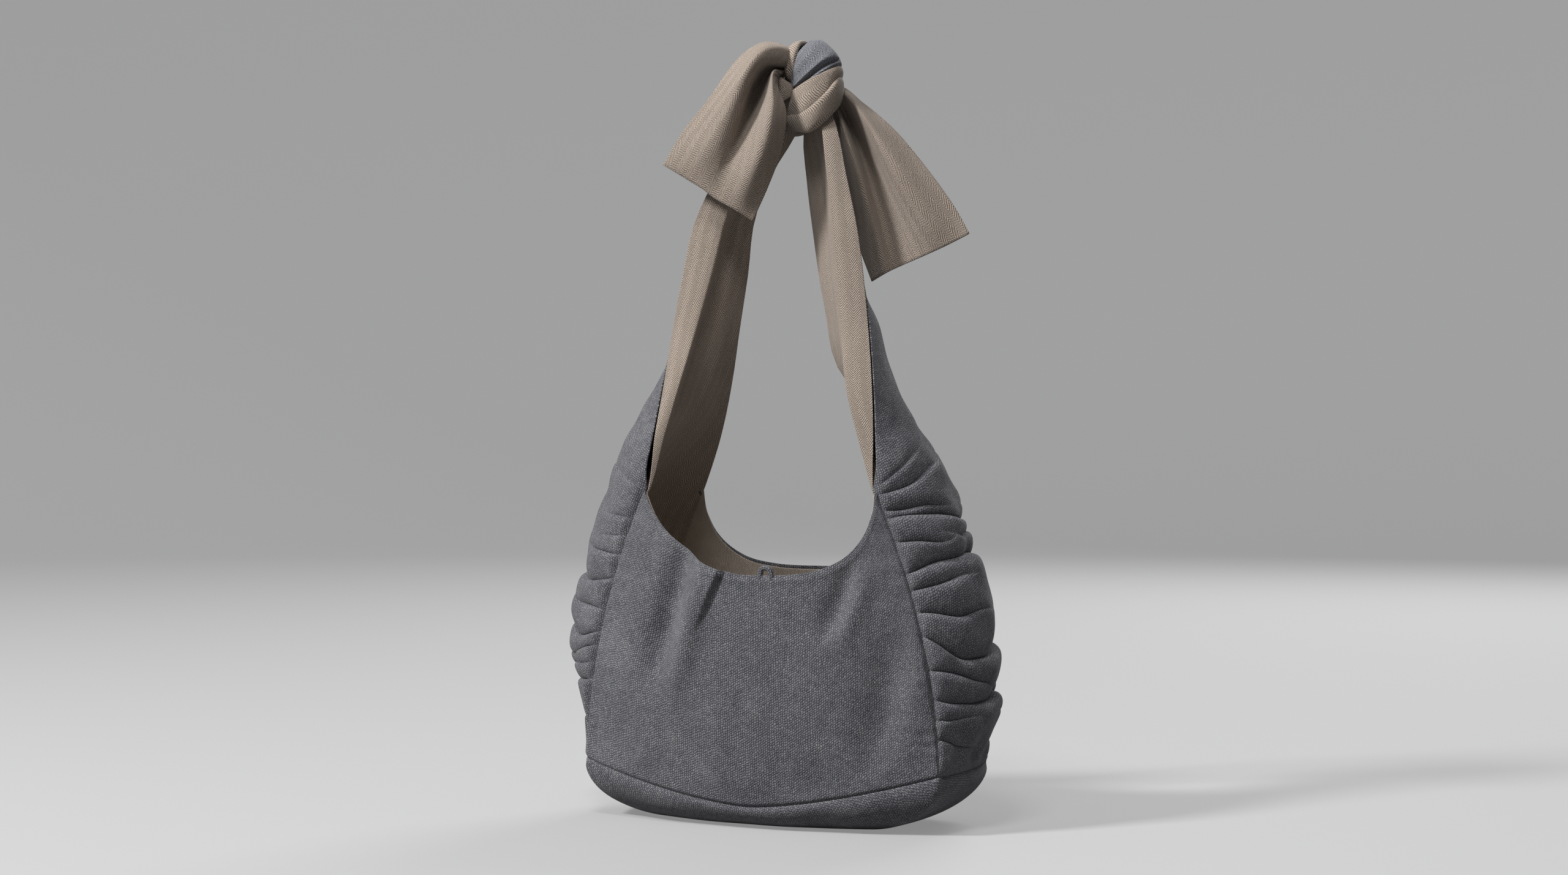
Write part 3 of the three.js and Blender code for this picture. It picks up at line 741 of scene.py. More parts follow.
# %% Gathers
# For each fold, its heights and its depths at places from the front seam to the back seam.
FOLD_PLACES = (-1, -0.6, -0.2, 0.2, 0.6, 1)
FOLDS = {
    LEFT: [
        ((86, 84, 82, 82, 84, 88), (3, 3, 3, 3, 3, 3)),
        ((119, 116, 112, 112, 115, 118), (7, 10, 9, 8, 6, 6)),
        ((133, 131, 127, 126, 130, 134), (5, 3, 3, 3, 4, 5)),
        ((148, 140, 137, 138, 142, 147), (7, 7, 3, 2, 3, 5)),
        ((160, 155, 163, 165, 160, 160), (7, 9, 8, 7, 5, 5)),
        ((178, 184, 190, 190, 186, 180), (7, 4, 0, 0, 3, 5)),
        ((207, 202, 207, 210, 206, 206), (9, 12, 11, 9, 7, 6)),
        ((227, 231, 236, 238, 234, 228), (8, 5, 0, 0, 3, 6)),
        ((243, 243, 244, 244, 243, 243), (4, 0, 0, 0, 2, 4)),
        ((258, 263, 268, 270, 266, 260), (5, 2, 0, 0, 3, 5)),
        ((285, 300, 308, 310, 302, 288), (2, 3, 2, 2, 2, 3)),
    ],
    RIGHT: [
        ((80, 74, 70, 70, 74, 80), (7, 5, 1, 0, 3, 5)),
        ((97, 96, 96, 96, 96, 97), (7, 3, 0, 0, 2, 4)),
        ((113, 108, 107, 113, 112, 113), (7, 11, 13, 14, 9, 6)),
        ((137, 131, 124, 120, 124, 134), (9, 10, 5, 1, 4, 6)),
        ((166, 146, 144, 151, 153, 160), (9, 12, 12, 14, 10, 7)),
        ((184, 181, 184, 186, 184, 184), (9, 9, 3, 0, 3, 6)),
        ((202, 208, 214, 216, 212, 206), (9, 7, 1, 0, 3, 5)),
        ((216, 225, 228, 229, 226, 220), (8, 12, 13, 14, 9, 6)),
        ((241, 243, 246, 248, 246, 243), (8, 4, 0, 0, 3, 5)),
        ((250, 250, 248, 247, 248, 250), (0, 0, 2, 6, 4, 2)),
        ((260, 264, 264, 258, 258, 259), (8, 8, 8, 7, 5, 5)),
        ((268, 271, 272, 272, 272, 270), (8, 6, 1, 0, 3, 5)),
        ((279, 292, 306, 314, 308, 288), (5, 5, 4, 2, 2, 3)),
        ((286, 310, 330, 338, 330, 300), (3, 4, 3, 2, 2, 2)),
    ],
}
SWELL, LIP, DROOP, FOLD_WOBBLE = 8.0, 0.3, 0.2, 1.4


def gathers(side, q, z):
    """How far the cloth stands out and how far it droops, for q across from -1 to 1 and heights z."""
    out, droop = SWELL * smooth(z, 62, 105) + 0 * q, 0 * (q + z)
    for number, (heights, depths) in enumerate(FOLDS[side]):
        depth = np.maximum(spline(FOLD_PLACES, depths, q), 0)
        wobble = FOLD_WOBBLE * ripple(55 * q, 0 * q, 34, 60 + number)
        above = z - spline(FOLD_PLACES, heights, q) - wobble
        over, under = np.clip(above, 0, None), np.clip(-above, 0, None)
        soft, sharp = 2.4 + 0.55 * depth, 1.2 + 0.2 * depth
        out = out - depth * np.exp(-over / soft - (under / sharp) ** 1.3)
        rim, edge = under / (1.2 * sharp), over / (0.5 * soft)
        droop = droop + depth * (DROOP * edge * np.exp(1 - edge) - LIP * rim * np.exp(1 - rim))
    out = out - low_pinch(side, z) * (1 - q**2)
    held = (1 - np.abs(q) ** 14) * (1 - smooth(z, 270, 360))
    return out * held, droop * held


print("Folds:", len(FOLDS[LEFT]), "on the left and", len(FOLDS[RIGHT]), "on the right")

# %% [markdown]
# ## Gussets and straps
# Each side is one long piece of tweed and one of herringbone, from the base up into the knot. The rows
# stand close together where the gathers are.

# %% Sides
SIDE_ROWS = np.concatenate([np.linspace(BASE_SEAM_CORNER, 330, 321), np.linspace(334, 620, 64)])
SIDE_COLUMNS = (crowded(81, 1.4) + 1) / 2
EDGE_TUCK, CREASE_HEIGHT, LOW_WAVE_HEIGHT = 0.045, 1.3, 1.5
LINING_ROW_STEP = 3


def side_grids(side):
    z, w = SIDE_ROWS, SIDE_COLUMNS
    height, q = z[:, None], (2 * w - 1)[None, :]
    inner = inner_section(side, z, w, LINING_INSET)
    tucked = lerp(EDGE_TUCK, 1 - EDGE_TUCK, w)
    outer = outer_section(side, z, w, inner_section(side, z, tucked, 0))
    away = outwards_of(side, np.gradient(outer, axis=1))
    out, droop = gathers(side, q, height)
    edge = SEAM_HALF_DEPTH * (1 - np.abs(q))
    out = out - SIDE_SEAM_SINK * bell(edge, 1.5) * (1 - smooth(height, 280, 300))
    out = out - 2.0 * bell(height - BASE_SEAM_CORNER, 2.5)
    loose = 1 - np.abs(q) ** 8
    creases = CREASE_HEIGHT * ripple(58 * q, height, 40, 5 + side) * loose
    low_waves = LOW_WAVE_HEIGHT * ripple(58 * q, 0.15 * height, 34, 9 + side) * loose
    waves = creases * (1 - smooth(height, 300, 440)) + low_waves * (1 - smooth(height, 60, 92))
    out = out + waves * smooth(height - BASE_SEAM_CORNER, 0, 16)
    outer = outer + away * out[:, :, None]
    level = np.broadcast_to(height, outer.shape[:2])
    lining_level = np.maximum(level, BASE_SEAM_CORNER + 2)
    return np.dstack([outer, level - droop]), np.dstack([inner, lining_level])[::LINING_ROW_STEP]


SIDE_CUT, SIDE_LINING_CUT = (230, 760), (220, 640)
SIDE_THICKNESS, SIDE_LINING_THICKNESS = 1.5, 1.0
for side, name in ((LEFT, "left"), (RIGHT, "right")):
    outer, inner = side_grids(side)
    for layer, grid, thickness, finish, flip in (
        ("tweed", outer, SIDE_THICKNESS, tweed, side == LEFT),
        ("lining", inner, SIDE_LINING_THICKNESS, lining, side == RIGHT),
    ):
        places = flat_places(grid, even_rows=True)
        piece = cloth_piece(f"{name}_side_{layer}", grid, thickness, finish, places, flip)
        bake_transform(piece)
        ending = "" if layer == "tweed" else "_lining"
        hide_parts(*(f"{name}_{part}{ending}" for part in ("gusset", "strap_root", "strap")))
        cut = SIDE_CUT if layer == "tweed" else SIDE_LINING_CUT
        declare_cloth(piece, grid, cut)

# %% [markdown]
# ## The base
# The base is an oval of tweed. Its middle lies flat on the floor, and its rim curves up to the panels'
# lower seam. It is made as rings from the middle to the rim, because its rim has to follow the seam of
# four pieces.

# %% Base
# Shares of the rim's width and depth that lie flat, then the rings of the flat and the curved part.
FLAT_WIDTH, FLAT_DEPTH = 87 / 174, 44 / 79
FLAT_RINGS, CURVED_RINGS = (0.0, 0.2, 0.4, 0.6, 0.8), 26
BASE_WAVE, RIM_SINK, RIM_BREADTH, RIM_HALF_DEPTH = 1.3, 1.8, 3, 79


def base_rim(inset):
    """The lower seam, once round: front panel, right gusset, back panel, left gusset."""
    u = np.linspace(-1, 1, 97)[:-1]
    q = np.linspace(-1, 1, 41)[:-1]

    def panel(side, u):
        z = base_seam_height(u)
        depth = SEAM_HALF_DEPTH - inset + panel_bulge(z) * (1 - u**2)
        return np.stack([u * (seam_half_width(z) - inset), side * depth, z], 1)

    def gusset(side, q):
        z = BASE_SEAM_CORNER + 0 * q
        bulge = strap_bulge(side, z) * (1 - q**2)
        return np.stack([side * (seam_half_width(z) - inset + bulge), q * (SEAM_HALF_DEPTH - inset), z], 1)

    return np.concatenate([panel(FRONT, u), gusset(RIGHT, q), panel(BACK, -u), gusset(LEFT, -q)])


def dish_grid(inset, floor):
    rim = base_rim(inset)
    flat = np.stack([rim[:, 0] * FLAT_WIDTH, rim[:, 1] * FLAT_DEPTH, 0 * rim[:, 2]], 1)
    rows = [flat * share for share in FLAT_RINGS]
    for share in np.linspace(0, 1, CURVED_RINGS):
        out, up = np.sin(share * np.pi / 2), 1 - np.cos(share * np.pi / 2)
        ring = lerp(flat, rim, out)
        ring[:, 2] = lerp(0, rim[:, 2], up)
        wave = BASE_WAVE * ripple(ring[:, 0], ring[:, 1], 58, 41) * np.sin(np.pi * min(1, 1.1 * share))
        ring[:, 1] += np.sign(rim[:, 1]) * wave * np.abs(rim[:, 1]) / RIM_HALF_DEPTH
        ring[:, :2] -= unit(rim[:, :2]) * (RIM_SINK * bell((1 - share) * 45, RIM_BREADTH))
        rows.append(ring)
    grid = np.array(rows)
    grid[:, :, 2] += floor
    return grid


def dish_piece(name, grid, thickness, finish):
    """A closed shallow dish: rings from a middle point to the rim, with thickness above."""
    rows, columns = grid.shape[:2]
    normals = grid_normals(grid, tube=True)
    normals[:3] = (0, 0, -1)
    above = grid - normals * thickness
    faces, _ = quads(rows, columns, tube=True)
    count = rows * columns
    loop = np.arange((rows - 1) * columns, count)
    ahead = np.roll(loop, -1)
    rim = np.stack([loop, loop + count, ahead + count, ahead], axis=1)
    all_faces = np.concatenate([faces, faces[:, ::-1] + count, rim[:, ::-1]])
    steps = np.linalg.norm(np.diff(grid, axis=0), axis=2)
    reach = np.concatenate([[np.zeros(columns)], np.cumsum(steps, axis=0)])
    places = (unit(grid[-1, :, :2])[None] * reach[:, :, None]).reshape(-1, 2)
    table = np.concatenate([places, places])
    points = np.concatenate([grid.reshape(-1, 3), above.reshape(-1, 3)])
    piece = mesh_piece(name, points, all_faces, table[all_faces], finish)
    close_poles(piece)
    return piece


BASE_CUT, BASE_THICKNESS, BASE_LINING_RISE = (370, 230), 1.6, 3.0
for layer, inset, floor, finish, under in (
    ("tweed", 0, 0, tweed, "floor"),
    ("inner", LINING_INSET, BASE_LINING_RISE, facing, "base_tweed"),
):
    grid = dish_grid(inset, floor)
    base = dish_piece(f"base_{layer}", grid, BASE_THICKNESS, finish)
    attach(base, "bag")
    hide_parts("base_panel" if layer == "tweed" else "base_lining")
    "tweed" if layer == "tweed" else "lining"
    declare_cloth(base, np.concatenate([grid, grid[:, :1]], axis=1), BASE_CUT)

# %% [markdown]
# ## The knot
# The straps cross and wrap round each other. A knot could be simulated or sculpted, but its few turns
# are easier to place one by one. Each is a closed band between an upper and a lower edge, and the edges
# are lines of points placed round the knot as the photograph shows them: across the picture, depth
# towards the back, and height. The lower turn lies over the upper one, and the upper one over the tweed
# band.

# %% Knot turns
VIEW_TURN = math.radians(24)
SEEN_ACROSS = np.array([math.cos(VIEW_TURN), math.sin(VIEW_TURN), 0])
SEEN_NEAR = np.array([math.sin(VIEW_TURN), -math.cos(VIEW_TURN), 0])


def seen(points):
    """Across the picture, depth towards the back and height, turned into the row frame."""
    points = np.asarray(points, float)
    x = (points[..., 0] - SEEN_ACROSS[1] * points[..., 1]) / SEEN_ACROSS[0]
    return np.stack([x, points[..., 1], points[..., 2]], axis=-1)


def closed_line(points, count):
    """A smooth closed line through points."""
    around = np.concatenate([points[-2:], points, points[:3]])
    return spline(np.arange(len(around)) - 2.0, around, np.linspace(0, len(points), count + 1)[:-1])


TURN_ROWS, TURN_COLUMNS, INNER_FULLNESS, TURN_RIPPLE = 128, 44, 2.5, 0.5


def turn_grid(upper, lower, fullness, seed):
    """A closed band between two edges, with a full outer face and a flatter inner one."""
    rows, columns = TURN_ROWS, TURN_COLUMNS
    top, foot = closed_line(seen(upper), rows), closed_line(seen(lower), rows)
    middle = (top + foot) / 2
    rise = unit(top - foot)
    away = middle - middle.mean(axis=0)
    away = unit(away - rise * (away * rise).sum(axis=1, keepdims=True))
    turn = np.linspace(0, 2 * np.pi, columns + 1)[:-1][None, :]
    share = (1 - np.cos(turn)) / 2
    out = np.sign(np.sin(turn)) * np.abs(np.sin(turn)) ** 0.6
    out = np.where(out > 0, fullness, INNER_FULLNESS) * out
    a = np.linspace(0, 2 * np.pi, rows + 1)[:-1][:, None]
    uneven = ripple(20 * np.cos(a) + 0 * share, 20 * np.sin(a) + 26 * share, 26, seed)
    out = out + TURN_RIPPLE * np.clip(out, 0, 1) * uneven
    grid = lerp(top[:, None], foot[:, None], share[..., None]) + away[:, None] * out[..., None]
    along = np.linspace(0, np.linalg.norm(np.diff(middle, axis=0), axis=1).sum(), rows + 1)
    across = np.linspace(0, np.linalg.norm(np.diff(grid[0], axis=0), axis=1).sum(), columns + 1)
    return grid, np.stack(np.meshgrid(across, along), axis=2)


# Upper edge, lower edge and fullness of each turn, from its left round the front.
KNOT_TURNS = {
    "knot_lower_wrap": (
        [(3, -5, 607), (12, -22, 604), (23, -29, 610), (36, -26, 622), (44, -15, 634), (46, 0, 634),
         (40, 17, 626), (20, 19, 610), (5, 10, 604)],
        [(4, -3, 594), (12, -17, 589), (22, -22, 588), (34, -20, 597), (42, -11, 607), (44, 2, 613),
         (38, 15, 604), (20, 17, 592), (7, 9, 589)],
        5.0,
    ),
    "knot_upper_wrap": (
        [(2, -5, 620), (8, -20, 625), (20, -27, 632), (34, -24, 639), (44, -13, 644), (46, 2, 645),
         (38, 18, 641), (18, 21, 631), (3, 10, 623)],
        [(3, -5, 598), (11, -19, 599), (22, -25, 605), (35, -21, 618), (43, -11, 631), (44, 3, 633),
         (38, 18, 622), (18, 20, 608), (4, 10, 600)],
        4.0,
    ),
    "knot_crown_fold": (
        [(2, -12, 636), (0, -16, 650), (2, -9, 660), (9, 4, 664), (13, 14, 656), (12, 16, 640),
         (8, 4, 630)],
        [(10, -15, 634), (9, -21, 651), (13, -12, 665), (20, 4, 667), (24, 16, 658), (22, 18, 640),
         (16, 4, 628)],
        3.0,
    ),
    "knot_tucked_fold": (
        [(-10, -8, 646), (-7, -17, 640), (2, -21, 632), (6, -14, 631), (4, -2, 640), (-5, 0, 648)],
        [(-8, -10, 612), (-4, -20, 613), (4, -22, 618), (8, -14, 618), (6, -4, 612), (-3, -2, 608)],
        2.5,
    ),
}
TURNS_IN_CAD = {"knot_lower_wrap": "knot_lower_turn", "knot_upper_wrap": "knot_upper_turn"}
for number, (name, shape) in enumerate(KNOT_TURNS.items()):
    grid, places = turn_grid(*shape, 3 + number)
    piece = band_piece(name, grid, lining, places)
    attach(piece, "handle")
    if name in TURNS_IN_CAD:
        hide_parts(TURNS_IN_CAD[name])
    print(name, "with", len(piece.data.polygons), "faces")

# %% [markdown]
# ## The knot's heart
# Inside the turns the straps are bunched up, which shows from the side and from behind. It is a ball
# with folds: rings round an axis that runs across, each pushed in and out unevenly. Its flat places
# spread out from one pole, so that the weave has no star there.

# %% Knot heart
HEART_MIDDLE, HEART_REACH = np.array([16, -1, 644]), np.array([17, 14.5, 19.5])
HEART_FOLDS, HEART_ROUND, HEART_CLOTH = 0.14, 0.75, 18
along = np.linspace(0, np.pi, 41)[:, None]
around = np.linspace(0, 2 * np.pi, 73)[None, :]
folds = ripple(30 * np.cos(along) + 6 * np.cos(around), 26 * np.sin(around), 17, 15)
ring = (1 + HEART_FOLDS * folds * np.sin(along)) * np.sin(along) ** HEART_ROUND
ball = np.stack([-np.cos(along) + 0 * ring, ring * np.cos(around), ring * np.sin(around)], axis=2)
heart_grid = seen(HEART_MIDDLE + HEART_REACH * ball[:, :-1])
places = HEART_CLOTH * along[..., None] * np.stack([np.cos(around), np.sin(around)], axis=2)
faces, face_places = quads(*heart_grid.shape[:2], tube=True)
places = places.reshape(-1, 2)[face_places]
heart = mesh_piece("knot_heart", heart_grid.reshape(-1, 3), faces, places, knot_tweed)
close_poles(heart)
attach(heart, "handle")
print("Heart of the knot with", len(heart.data.polygons), "faces")

# %% [markdown]
# ## Lofted folds
# The tweed band over the top and the two tails have no simple formula, so they are lofted: a few given
# lines run along the cloth, and a smooth surface is drawn through them. One of the band's lines is its
# crease.

# %% Lofts
def loft(lines, shares, rows, columns):
    """A surface through lines of points, each line running along the cloth at its share of the width."""
    lines = seen(lines)
    steps = np.arange(lines.shape[1])
    along = np.stack([spline(steps, line, np.linspace(0, steps[-1], rows)) for line in lines], axis=0)
    return np.moveaxis(spline(shares, along, np.linspace(0, 1, columns)), 0, 1)


KNOT_BAND_SHARES = (0, 0.22, 0.45, 0.66, 0.75, 0.84, 1)
KNOT_BAND_LINES = [
    [(4, -13, 630), (5, -20, 643), (10, -19, 655), (18, -11, 665),
     (25, 0, 669), (31, 13, 660), (34, 18, 644)],
    [(5, -18, 629), (11, -26, 643), (19, -25, 655), (27, -15, 665),
     (33, -3, 667), (38, 11, 658), (39, 18, 642)],
    [(6, -20, 628), (16, -28, 638), (27, -27, 649), (36, -17, 659),
     (41, -5, 659), (43, 9, 651), (42, 18, 638)],
    [(8, -21, 627), (19, -29, 636), (32, -27, 646), (42, -18, 651),
     (46, -7, 652), (47, 7, 646), (43, 15, 636)],
    [(10, -18, 626), (21, -25, 635), (33, -23, 643), (43, -14, 648),
     (47, -6, 650), (47, 6, 644), (42, 14, 635)],
    [(11, -20, 625), (23, -28, 633), (35, -25, 641), (44, -16, 646),
     (48, -6, 647), (47, 5, 641), (42, 13, 634)],
    [(13, -17, 623), (24, -22, 629), (36, -20, 637), (44, -11, 641),
     (46, -3, 643), (45, 4, 638), (41, 11, 632)],
]
KNOT_BAND_GRID, KNOT_BAND_THICKNESS, KNOT_BAND_CUT = (72, 64), 1.6, (66, 110)
grid = loft(KNOT_BAND_LINES, KNOT_BAND_SHARES, *KNOT_BAND_GRID)
knot_band = cloth_piece("knot_tweed_band", grid, KNOT_BAND_THICKNESS, knot_tweed)
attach(knot_band, "handle")
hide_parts("knot_core")
declare_cloth(knot_band, grid, KNOT_BAND_CUT)

# %% [markdown]
# ## The tails
# Each tail is the end of a strap: lining in front, tweed behind, sewn together round the edge. The left
# one rises out of the knot in an arch and falls in two lobes with a deep valley between. The right one
# hangs behind the strap. The tweed layer is worked out from the lining's, so that the two never cross.

# %% Tails
# Shares of the width, and lines from the knot to the hem: from the outer edge to the inner edge.
TAIL_SHARES = {"left": (0, 0.27, 0.42, 0.53, 0.74, 1), "right": (0, 0.28, 0.5, 0.72, 1)}
TAIL_LINES = {
    "left": [
        [(8, -6, 661), (-8, -17, 667), (-24, -27, 665), (-43, -35, 650),
         (-66, -42, 618), (-88, -46, 591), (-105, -48, 563)],
        [(8, -14, 655), (-6, -33, 658), (-20, -46, 654), (-34, -55, 636),
         (-48, -57, 606), (-64, -55, 575), (-82, -46, 548)],
        [(8, -13, 646), (-6, -29, 647), (-18, -39, 645), (-29, -46, 631),
         (-39, -49, 603), (-54, -50, 569), (-71, -45, 541)],
        [(9, -9, 642), (-4, -13, 645), (-14, -15, 643), (-26, -22, 626),
         (-36, -36, 599), (-48, -44, 564), (-62, -43, 534)],
        [(10, -10, 640), (-3, -20, 642), (-11, -40, 637), (-13, -51, 609),
         (-19, -52, 579), (-31, -48, 549), (-44, -40, 523)],
        [(10, -4, 637), (-2, -12, 637), (-6, -26, 628), (1, -31, 604),
         (-3, -30, 573), (-14, -31, 543), (-28, -32, 513)],
    ],
    "right": [
        [(40, 6, 634), (54, 7, 626), (66, 8, 615), (80, 9, 603),
         (97, 11, 586), (119, 13, 558), (141, 15, 526), (155, 16, 500)],
        [(42, 0, 626), (54, -4, 617), (64, -7, 602), (75, -8, 583),
         (88, -7, 560), (103, -4, 533), (118, 2, 507), (129, 9, 487)],
        [(42, 8, 618), (49, 12, 611), (54, 17, 601), (61, 20, 585),
         (69, 21, 565), (78, 19, 537), (88, 17, 505), (97, 14, 474)],
        [(40, 0, 612), (45, -3, 606), (49, -6, 596), (54, -8, 580),
         (60, -7, 561), (68, -3, 534), (77, 4, 501), (85, 11, 468)],
        [(38, 8, 606), (40, 9, 599), (41, 11, 589), (43, 13, 574),
         (46, 14, 554), (52, 15, 527), (62, 16, 495), (74, 18, 462)],
    ],
}
TAIL_CUT, TAIL_GRID, TAIL_THICKNESS = (112, 178), (90, 70), 1.0
LAYER_GAP, SEWN_GAP, SEWN_STEPS = 1.4, 1.1, 3


def tucked_behind(grid, gap):
    """The second layer of a sewn double cloth: a little smaller, and a gap behind the first."""
    rows, columns = grid.shape[:2]
    grid = spline(np.arange(rows), grid, np.linspace(0.8, rows - 1, rows))
    narrower = np.linspace(0.8, columns - 1.8, columns)
    grid = np.moveaxis(spline(np.arange(columns), np.moveaxis(grid, 1, 0), narrower), 0, 1)
    across = np.minimum(np.arange(columns), np.arange(columns)[::-1])[None, :] / SEWN_STEPS
    along = np.arange(rows)[:, None] / SEWN_STEPS
    root = smooth(np.arange(rows)[::-1, None], 8, 40)
    open_share = np.clip(np.minimum(across, along), 0, 1) ** 0.5 * root
    return grid - grid_normals(grid) * (SEWN_GAP + gap * open_share)[:, :, None]


for name, lines in TAIL_LINES.items():
    shares = np.array(TAIL_SHARES[name])
    if name == "right":
        lines, shares = lines[::-1], 1 - shares[::-1]
    front = loft(lines, shares, *TAIL_GRID)[::-1]
    rear = tucked_behind(front, LAYER_GAP)
    for layer, grid, finish, flip in (("lining", front, lining, False), ("tweed", rear, tweed, True)):
        piece = cloth_piece(f"{name}_end_{layer}", grid, TAIL_THICKNESS, finish, flip=flip)
        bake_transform(piece)
        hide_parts(f"{name}_tail" if layer == "tweed" else f"{name}_tail_lining")
        declare_cloth(piece, grid, TAIL_CUT)

# %% [markdown]
# ## The closure's loop
# A loop of rolled tweed stands on the front edge of the mouth. It is a tube along a path, which
# Geometry Nodes make well: the path is a curve, the tube's radius is an input, and the place along and
# round the tube is stored as the cloth's flat place, so that the weave runs along the roll.

# %% Loop
LOOP_X, LOOP_Y, LOOP_RADIUS = 19.72, -84.2, 2.3
# Half of the loop, from its foot to the middle of its arch.
LOOP_PATH = [
    (-5.0, 1.0, 209.5), (-5.1, 0.6, 212.0), (-4.9, 0.1, 215.2), (-3.5, -0.3, 218.6), (0, -0.4, 219.9),
]
PATH_POINTS, TUBE_RINGS, TUBE_SIDES = 41, 48, 16


def tube_tree():
    """Geometry nodes that turn a path into a tube with its flat places stored."""
    tree = bpy.data.node_groups.new("tube along a path", "GeometryNodeTree")
    for label, kind in (("Path", "Geometry"), ("Radius", "Float"), ("Finish", "Material")):
        tree.interface.new_socket(label, in_out="INPUT", socket_type=f"NodeSocket{kind}")
    tree.interface.new_socket("Tube", in_out="OUTPUT", socket_type="NodeSocketGeometry")
    start, end = tree.nodes.new("NodeGroupInput"), tree.nodes.new("NodeGroupOutput")
    add = Wire(tree).node
    path, radius, finish = (Wire(tree, start.outputs[i]) for i in range(3))
    path = add("GeometryNodeResampleCurve", None, {"Curve": path, "Count": TUBE_RINGS})
    run = Wire(tree, add("GeometryNodeSplineParameter").socket.node.outputs["Length"])
    path = add("GeometryNodeStoreNamedAttribute", None, {"Geometry": path, "Name": "run", "Value": run})
    ring = add("GeometryNodeCurvePrimitiveCircle", None, {"Resolution": TUBE_SIDES, "Radius": radius})
    turn = add("GeometryNodeSplineParameter")
    ring = add("GeometryNodeStoreNamedAttribute", None, {"Geometry": ring, "Name": "turn", "Value": turn})
    tube = add("GeometryNodeCurveToMesh", None, {"Curve": path, "Profile Curve": ring, "Fill Caps": True})
    run = add("GeometryNodeInputNamedAttribute", None, {"Name": "run"})
    turn = add("GeometryNodeInputNamedAttribute", None, {"Name": "turn"})
    flat = add("ShaderNodeCombineXYZ", None, {0: turn * radius * (2 * math.pi / MM), 1: run / MM})
    stored = {"data_type": "FLOAT2", "domain": "CORNER"}
    flat_map = {"Geometry": tube, "Name": CLOTH_MAP, "Value": flat}
    tube = add("GeometryNodeStoreNamedAttribute", stored, flat_map)
    tube = add("GeometryNodeSetShadeSmooth", None, {"Geometry": tube})
    tube = add("GeometryNodeRealizeInstances", None, {"Geometry": tube})
    tube = add("GeometryNodeSetMaterial", None, {"Geometry": tube, "Material": finish})
    tree.links.new(tube.socket, end.inputs[0])
    return tree


def tube_piece(name, points, radius, finish):
    """A plain mesh of a tube along points, made by the nodes."""
    curve = bpy.data.curves.new(f"{name}_path", "CURVE")
    curve.dimensions = "3D"
    line = curve.splines.new("POLY")
    line.points.add(len(points) - 1)
    for point, place in zip(line.points, points):
        point.co = (*(c * MM for c in place), 1)
    guide = bpy.data.objects.new(f"{name}_path", curve)
    bpy.context.scene.collection.objects.link(guide)
    nodes = guide.modifiers.new("tube", "NODES")
    nodes.node_group = tube_tree()
    inputs = {s.name: s.identifier for s in nodes.node_group.interface.items_tree if s.in_out == "INPUT"}
    nodes[inputs["Radius"]] = radius * MM
    nodes[inputs["Finish"]] = finish
    made = guide.evaluated_get(bpy.context.evaluated_depsgraph_get())
    piece = bpy.data.objects.new(name, bpy.data.meshes.new_from_object(made))
    bpy.data.objects.remove(guide)
    bpy.context.scene.collection.objects.link(piece)
    return piece


half = np.array(LOOP_PATH)
other = half[-2::-1] * (-1, 1, 1)
path = np.concatenate([half, other]) + (LOOP_X, LOOP_Y, 0)
path = spline(np.arange(len(path)), path, np.linspace(0, len(path) - 1, PATH_POINTS))
rolled_loop = tube_piece("rolled_loop", path, LOOP_RADIUS, tweed)
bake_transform(rolled_loop)
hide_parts("closure_loop")
print("Loop with", len(rolled_loop.data.polygons), "faces")

# %% [markdown]
# ## The button
# The loop needs a button, which sits inside the back. It is turned, as horn buttons are: an outline of
# radius and height is swept once round. Soft veins of noise on the object's own coordinates give the
# horn.

# %% Button
def horn_finish():
    material = bpy.data.materials.new("horn")
    material.use_nodes = True
    shader = material.node_tree.nodes["Principled BSDF"]
    start = Wire(material.node_tree)
    place = start.node("ShaderNodeTexCoord", None, None, 3)
    sizes = {"Vector": place, "Scale": 160.0, "Detail": 4.0, "Distortion": 1.2}
    veins = place.node("ShaderNodeTexNoise", None, sizes)
    base = veins.step(0.35, 0.7).mix(colour(34, 32, 32), colour(82, 74, 66))
    material.node_tree.links.new(base.socket, shader.inputs["Base Color"])
    shader.inputs["Roughness"].default_value = 0.38
    return material


BUTTON_PLACE, BUTTON_SIDES = np.array([20.35, 83.58, 193.0]), 48
# Radius and height of the turned outline, from the shank's foot to the middle of the dished face.
BUTTON_OUTLINE = [
    (0, -2), (2, -2), (2, 3.2), (2.6, 3.5), (6.6, 3.5), (7.6, 4.0), (8, 5.2), (7.9, 6.4), (7.3, 7.2),
    (6.6, 7.5), (5.9, 7.3), (5.2, 6.8), (3.5, 6.5), (0, 6.4),
]
turns = np.linspace(0, 2 * np.pi, BUTTON_SIDES + 1)[:-1]
rings = [[(r * np.cos(t), -h, r * np.sin(t)) for t in turns] for r, h in BUTTON_OUTLINE]
grid = np.array(rings) + BUTTON_PLACE
faces, _ = quads(*grid.shape[:2], tube=True)
points = grid.reshape(-1, 3)
horn_button = mesh_piece("horn_button", points, faces, points[faces][:, :, (0, 2)], horn_finish())
close_poles(horn_button)
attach(horn_button, "bag")
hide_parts("closure_button")
print("Button with", len(horn_button.data.polygons), "faces")

# %% [markdown]
# ## The camera
# The camera stands level with the middle of the bag, to its front right, as the photograph was taken.
# Its lens follows from how many picture pixels one metre takes at one metre's distance.

# %% Camera
CAMERA_DISTANCE, CAMERA_HEIGHT = 2.2, 0.328
PICTURE_WIDTH, FOCAL_PIXELS = 2560, 4161

